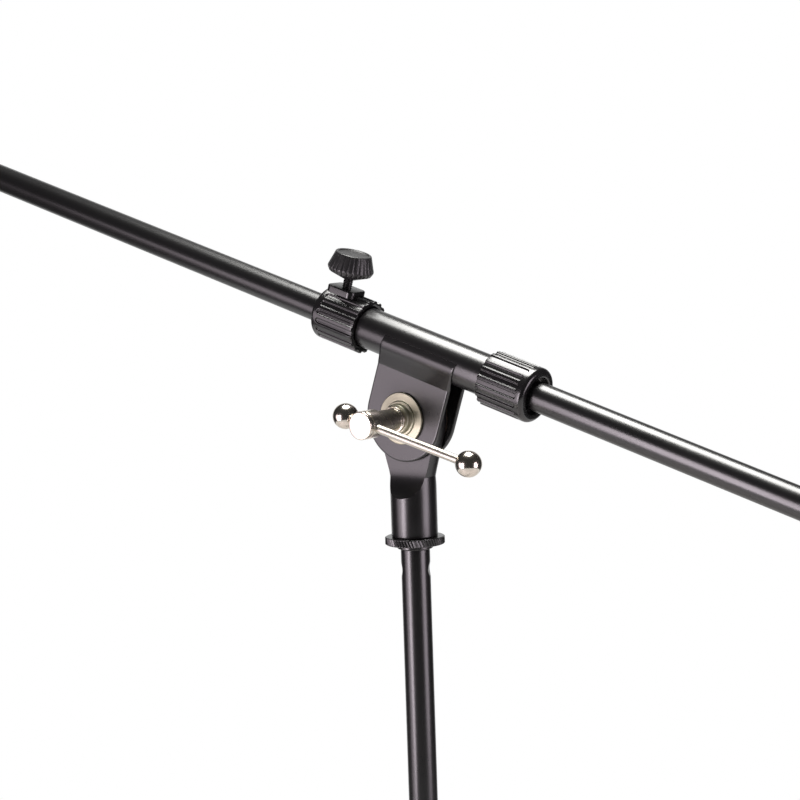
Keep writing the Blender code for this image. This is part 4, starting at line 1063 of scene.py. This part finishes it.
boss_face = washer_high + BOSS_LENGTH
washer = turned([
    (CLAMP_BORE, washer_low, 0), (WASHER_RADIUS, washer_low, 0.3 * MM),
    (WASHER_RADIUS, washer_high, 0.5 * MM), (TIER_RADIUS, washer_high, 0.3 * MM),
    (TIER_RADIUS, washer_high + TIER_RISE, 0.5 * MM), (BOSS_RADIUS, washer_high + TIER_RISE, 0.3 * MM),
    (BOSS_RADIUS, boss_face, 0.9 * MM), (CLAMP_BORE, boss_face, 0)], 128)
make_piece("flanged_washer", [(washer, out_of_clamp)], satin_nickel, "clamp", ["clamp_washer"])
neck_low = boss_face + SEAT
neck_ring_high = neck_low + NECK_RING_LENGTH
nut_near = -plate_out - SEAT
nut_far = nut_near - REAR_NUT_THICK
screw_end = nut_far - SCREW_TAIL
groove_high = T_HEAD_FACE - GROOVE_DROP
groove_low = groove_high - GROOVE_WIDTH
groove_floor = T_HEAD_RADIUS - GROOVE_DEPTH
handle_screw = turned([
    (0, screw_end, 0), (SCREW_RADIUS, screw_end, 0.8 * MM), (SCREW_RADIUS, neck_low, 0),
    (NECK_RING_RADIUS, neck_low, 0.4 * MM), (NECK_RING_RADIUS, neck_ring_high, 0.4 * MM),
    (NECK_RADIUS, neck_ring_high, 0.3 * MM), (NECK_RADIUS, T_HEAD_NEAR, 0.8 * MM),
    (T_HEAD_RADIUS, T_HEAD_NEAR, 0.8 * MM), (T_HEAD_RADIUS, groove_low, 0.2 * MM),
    (groove_floor, groove_low, 0.2 * MM), (groove_floor, groove_high, 0.2 * MM),
    (T_HEAD_RADIUS, groove_high, 0.2 * MM),
    (T_HEAD_RADIUS, T_HEAD_FACE, 0.7 * MM), (0, T_HEAD_FACE, 0)], 128)
make_piece("handle_screw", [(handle_screw, out_of_clamp)], turned_nickel, "t_handle", ["t_screw"])
rear_nut = prism(hexagon(REAR_NUT_ACROSS), nut_far, nut_near)
make_piece("rear_clamp_nut", [(rear_nut, out_of_clamp)], nickel, "clamp", ["clamp_nut"],
           edge=0.6 * MM)

BAR_OUT = 38.4 * MM
BAR_RADIUS = 2.3 * MM
BALL_RADIUS = 7.0 * MM
BALL_SPACING = 82.6 * MM
BALL_REST_GAP = 0.5 * MM
BALL_LIP = 0.6 * MM
BALL_STEPS = 40
bar_along = Vector(joints["tommy_bar_slide"]["axis"]).normalized()
bar_frame = frame_at(pivot + front * BAR_OUT, bar_along, front)
near_ball = -(T_HEAD_RADIUS + BALL_RADIUS + BALL_REST_GAP)
far_ball = near_ball + BALL_SPACING
bar = turned([
    (0, near_ball, 0), (BAR_RADIUS, near_ball, 0), (BAR_RADIUS, far_ball, 0), (0, far_ball, 0)], 64)
make_piece("sliding_bar", [(bar, bar_frame)], drawn_nickel, "handle_bar", ["tommy_bar"])


def ball_shell(centre, mouth):
    """A ball with a small flat and lip where the bar is pressed in."""
    lip = math.asin((BAR_RADIUS + BALL_LIP) / BALL_RADIUS)
    outline = [(0.0, centre - mouth * BALL_RADIUS, 0)]
    for i in range(1, BALL_STEPS + 1):
        angle = math.pi + (lip - math.pi) * i / BALL_STEPS
        outline.append((BALL_RADIUS * math.sin(angle), centre + mouth * BALL_RADIUS * math.cos(angle), 0))
    outline += [(BAR_RADIUS, outline[-1][1], 0), (BAR_RADIUS, centre, 0), (0.0, centre, 0)]
    return turned(outline, 64)


balls = (("near_ball", "inner_ball", near_ball, 1), ("far_ball", "outer_ball", far_ball, -1))
for name, node, centre, mouth in balls:
    make_piece(name, [(ball_shell(centre, mouth), bar_frame)], nickel, "handle_bar", [node],
               smooth=50)

# Boom: one long drawn tube, powder coated, with a plated thread for the microphone clip at its upper end.
# A rubber cap closes the lower end.
BOOM_UP_REACH = 418.0 * MM
BOOM_DOWN_REACH = 392.0 * MM
MIC_THREAD_RADIUS = 7.6 * MM
MIC_THREAD_LENGTH = 12.0 * MM
MIC_THREAD_DEPTH = 0.55 * MM
MIC_THREAD_PITCH = 0.94 * MM
MIC_FLANGE_RADIUS = 9.5 * MM
MIC_FLANGE = 3.5 * MM
MIC_PLUG_RADIUS = 6.6 * MM
MIC_PLUG = 16.0 * MM
CAP_WALL = 2.0 * MM
CAP_GRIP = 21.0 * MM
CAP_END = 3.0 * MM
boom = tube(BOOM_OD / 2, TUBE_WALL, -BOOM_UP_REACH, BOOM_DOWN_REACH, 144)
make_piece("boom", [(boom, along_boom)], satin_coat, "boom", ["boom_tube"])
mic_seat = -BOOM_UP_REACH - SEAT
mic_low = mic_seat - MIC_FLANGE
plug_end = mic_seat + MIC_PLUG
mic_core = turned([
    (0, mic_low, 0), (MIC_FLANGE_RADIUS, mic_low, 0.5 * MM), (MIC_FLANGE_RADIUS, mic_seat, 0.5 * MM),
    (MIC_PLUG_RADIUS, mic_seat, 0), (MIC_PLUG_RADIUS, plug_end, 0.5 * MM), (0, plug_end, 0)])
mic_screw = threaded_rod(MIC_THREAD_RADIUS, MIC_THREAD_PITCH, MIC_THREAD_DEPTH, mic_low - MIC_THREAD_LENGTH,
                         mic_low + MIC_THREAD_PITCH / 2, 96)
make_piece("microphone_thread", [(mic_core, along_boom), (mic_screw, along_boom)], nickel, "boom",
           ["mic_thread"], smooth=60)
cap_bore = BOOM_OD / 2 + FIT
cap_radius = cap_bore + CAP_WALL
cap_seat = BOOM_DOWN_REACH + SEAT
cap = turned([
    (0, cap_seat, 0), (cap_bore, cap_seat, 0), (cap_bore, cap_seat - CAP_GRIP, 0),
    (cap_radius, cap_seat - CAP_GRIP, 0.9 * MM), (cap_radius, cap_seat + CAP_END, 1.8 * MM),
    (0, cap_seat + CAP_END, 0)], 72)
make_piece("rubber_end_cap", [(cap, along_boom)], rubber, "boom", ["boom_end_cap"])
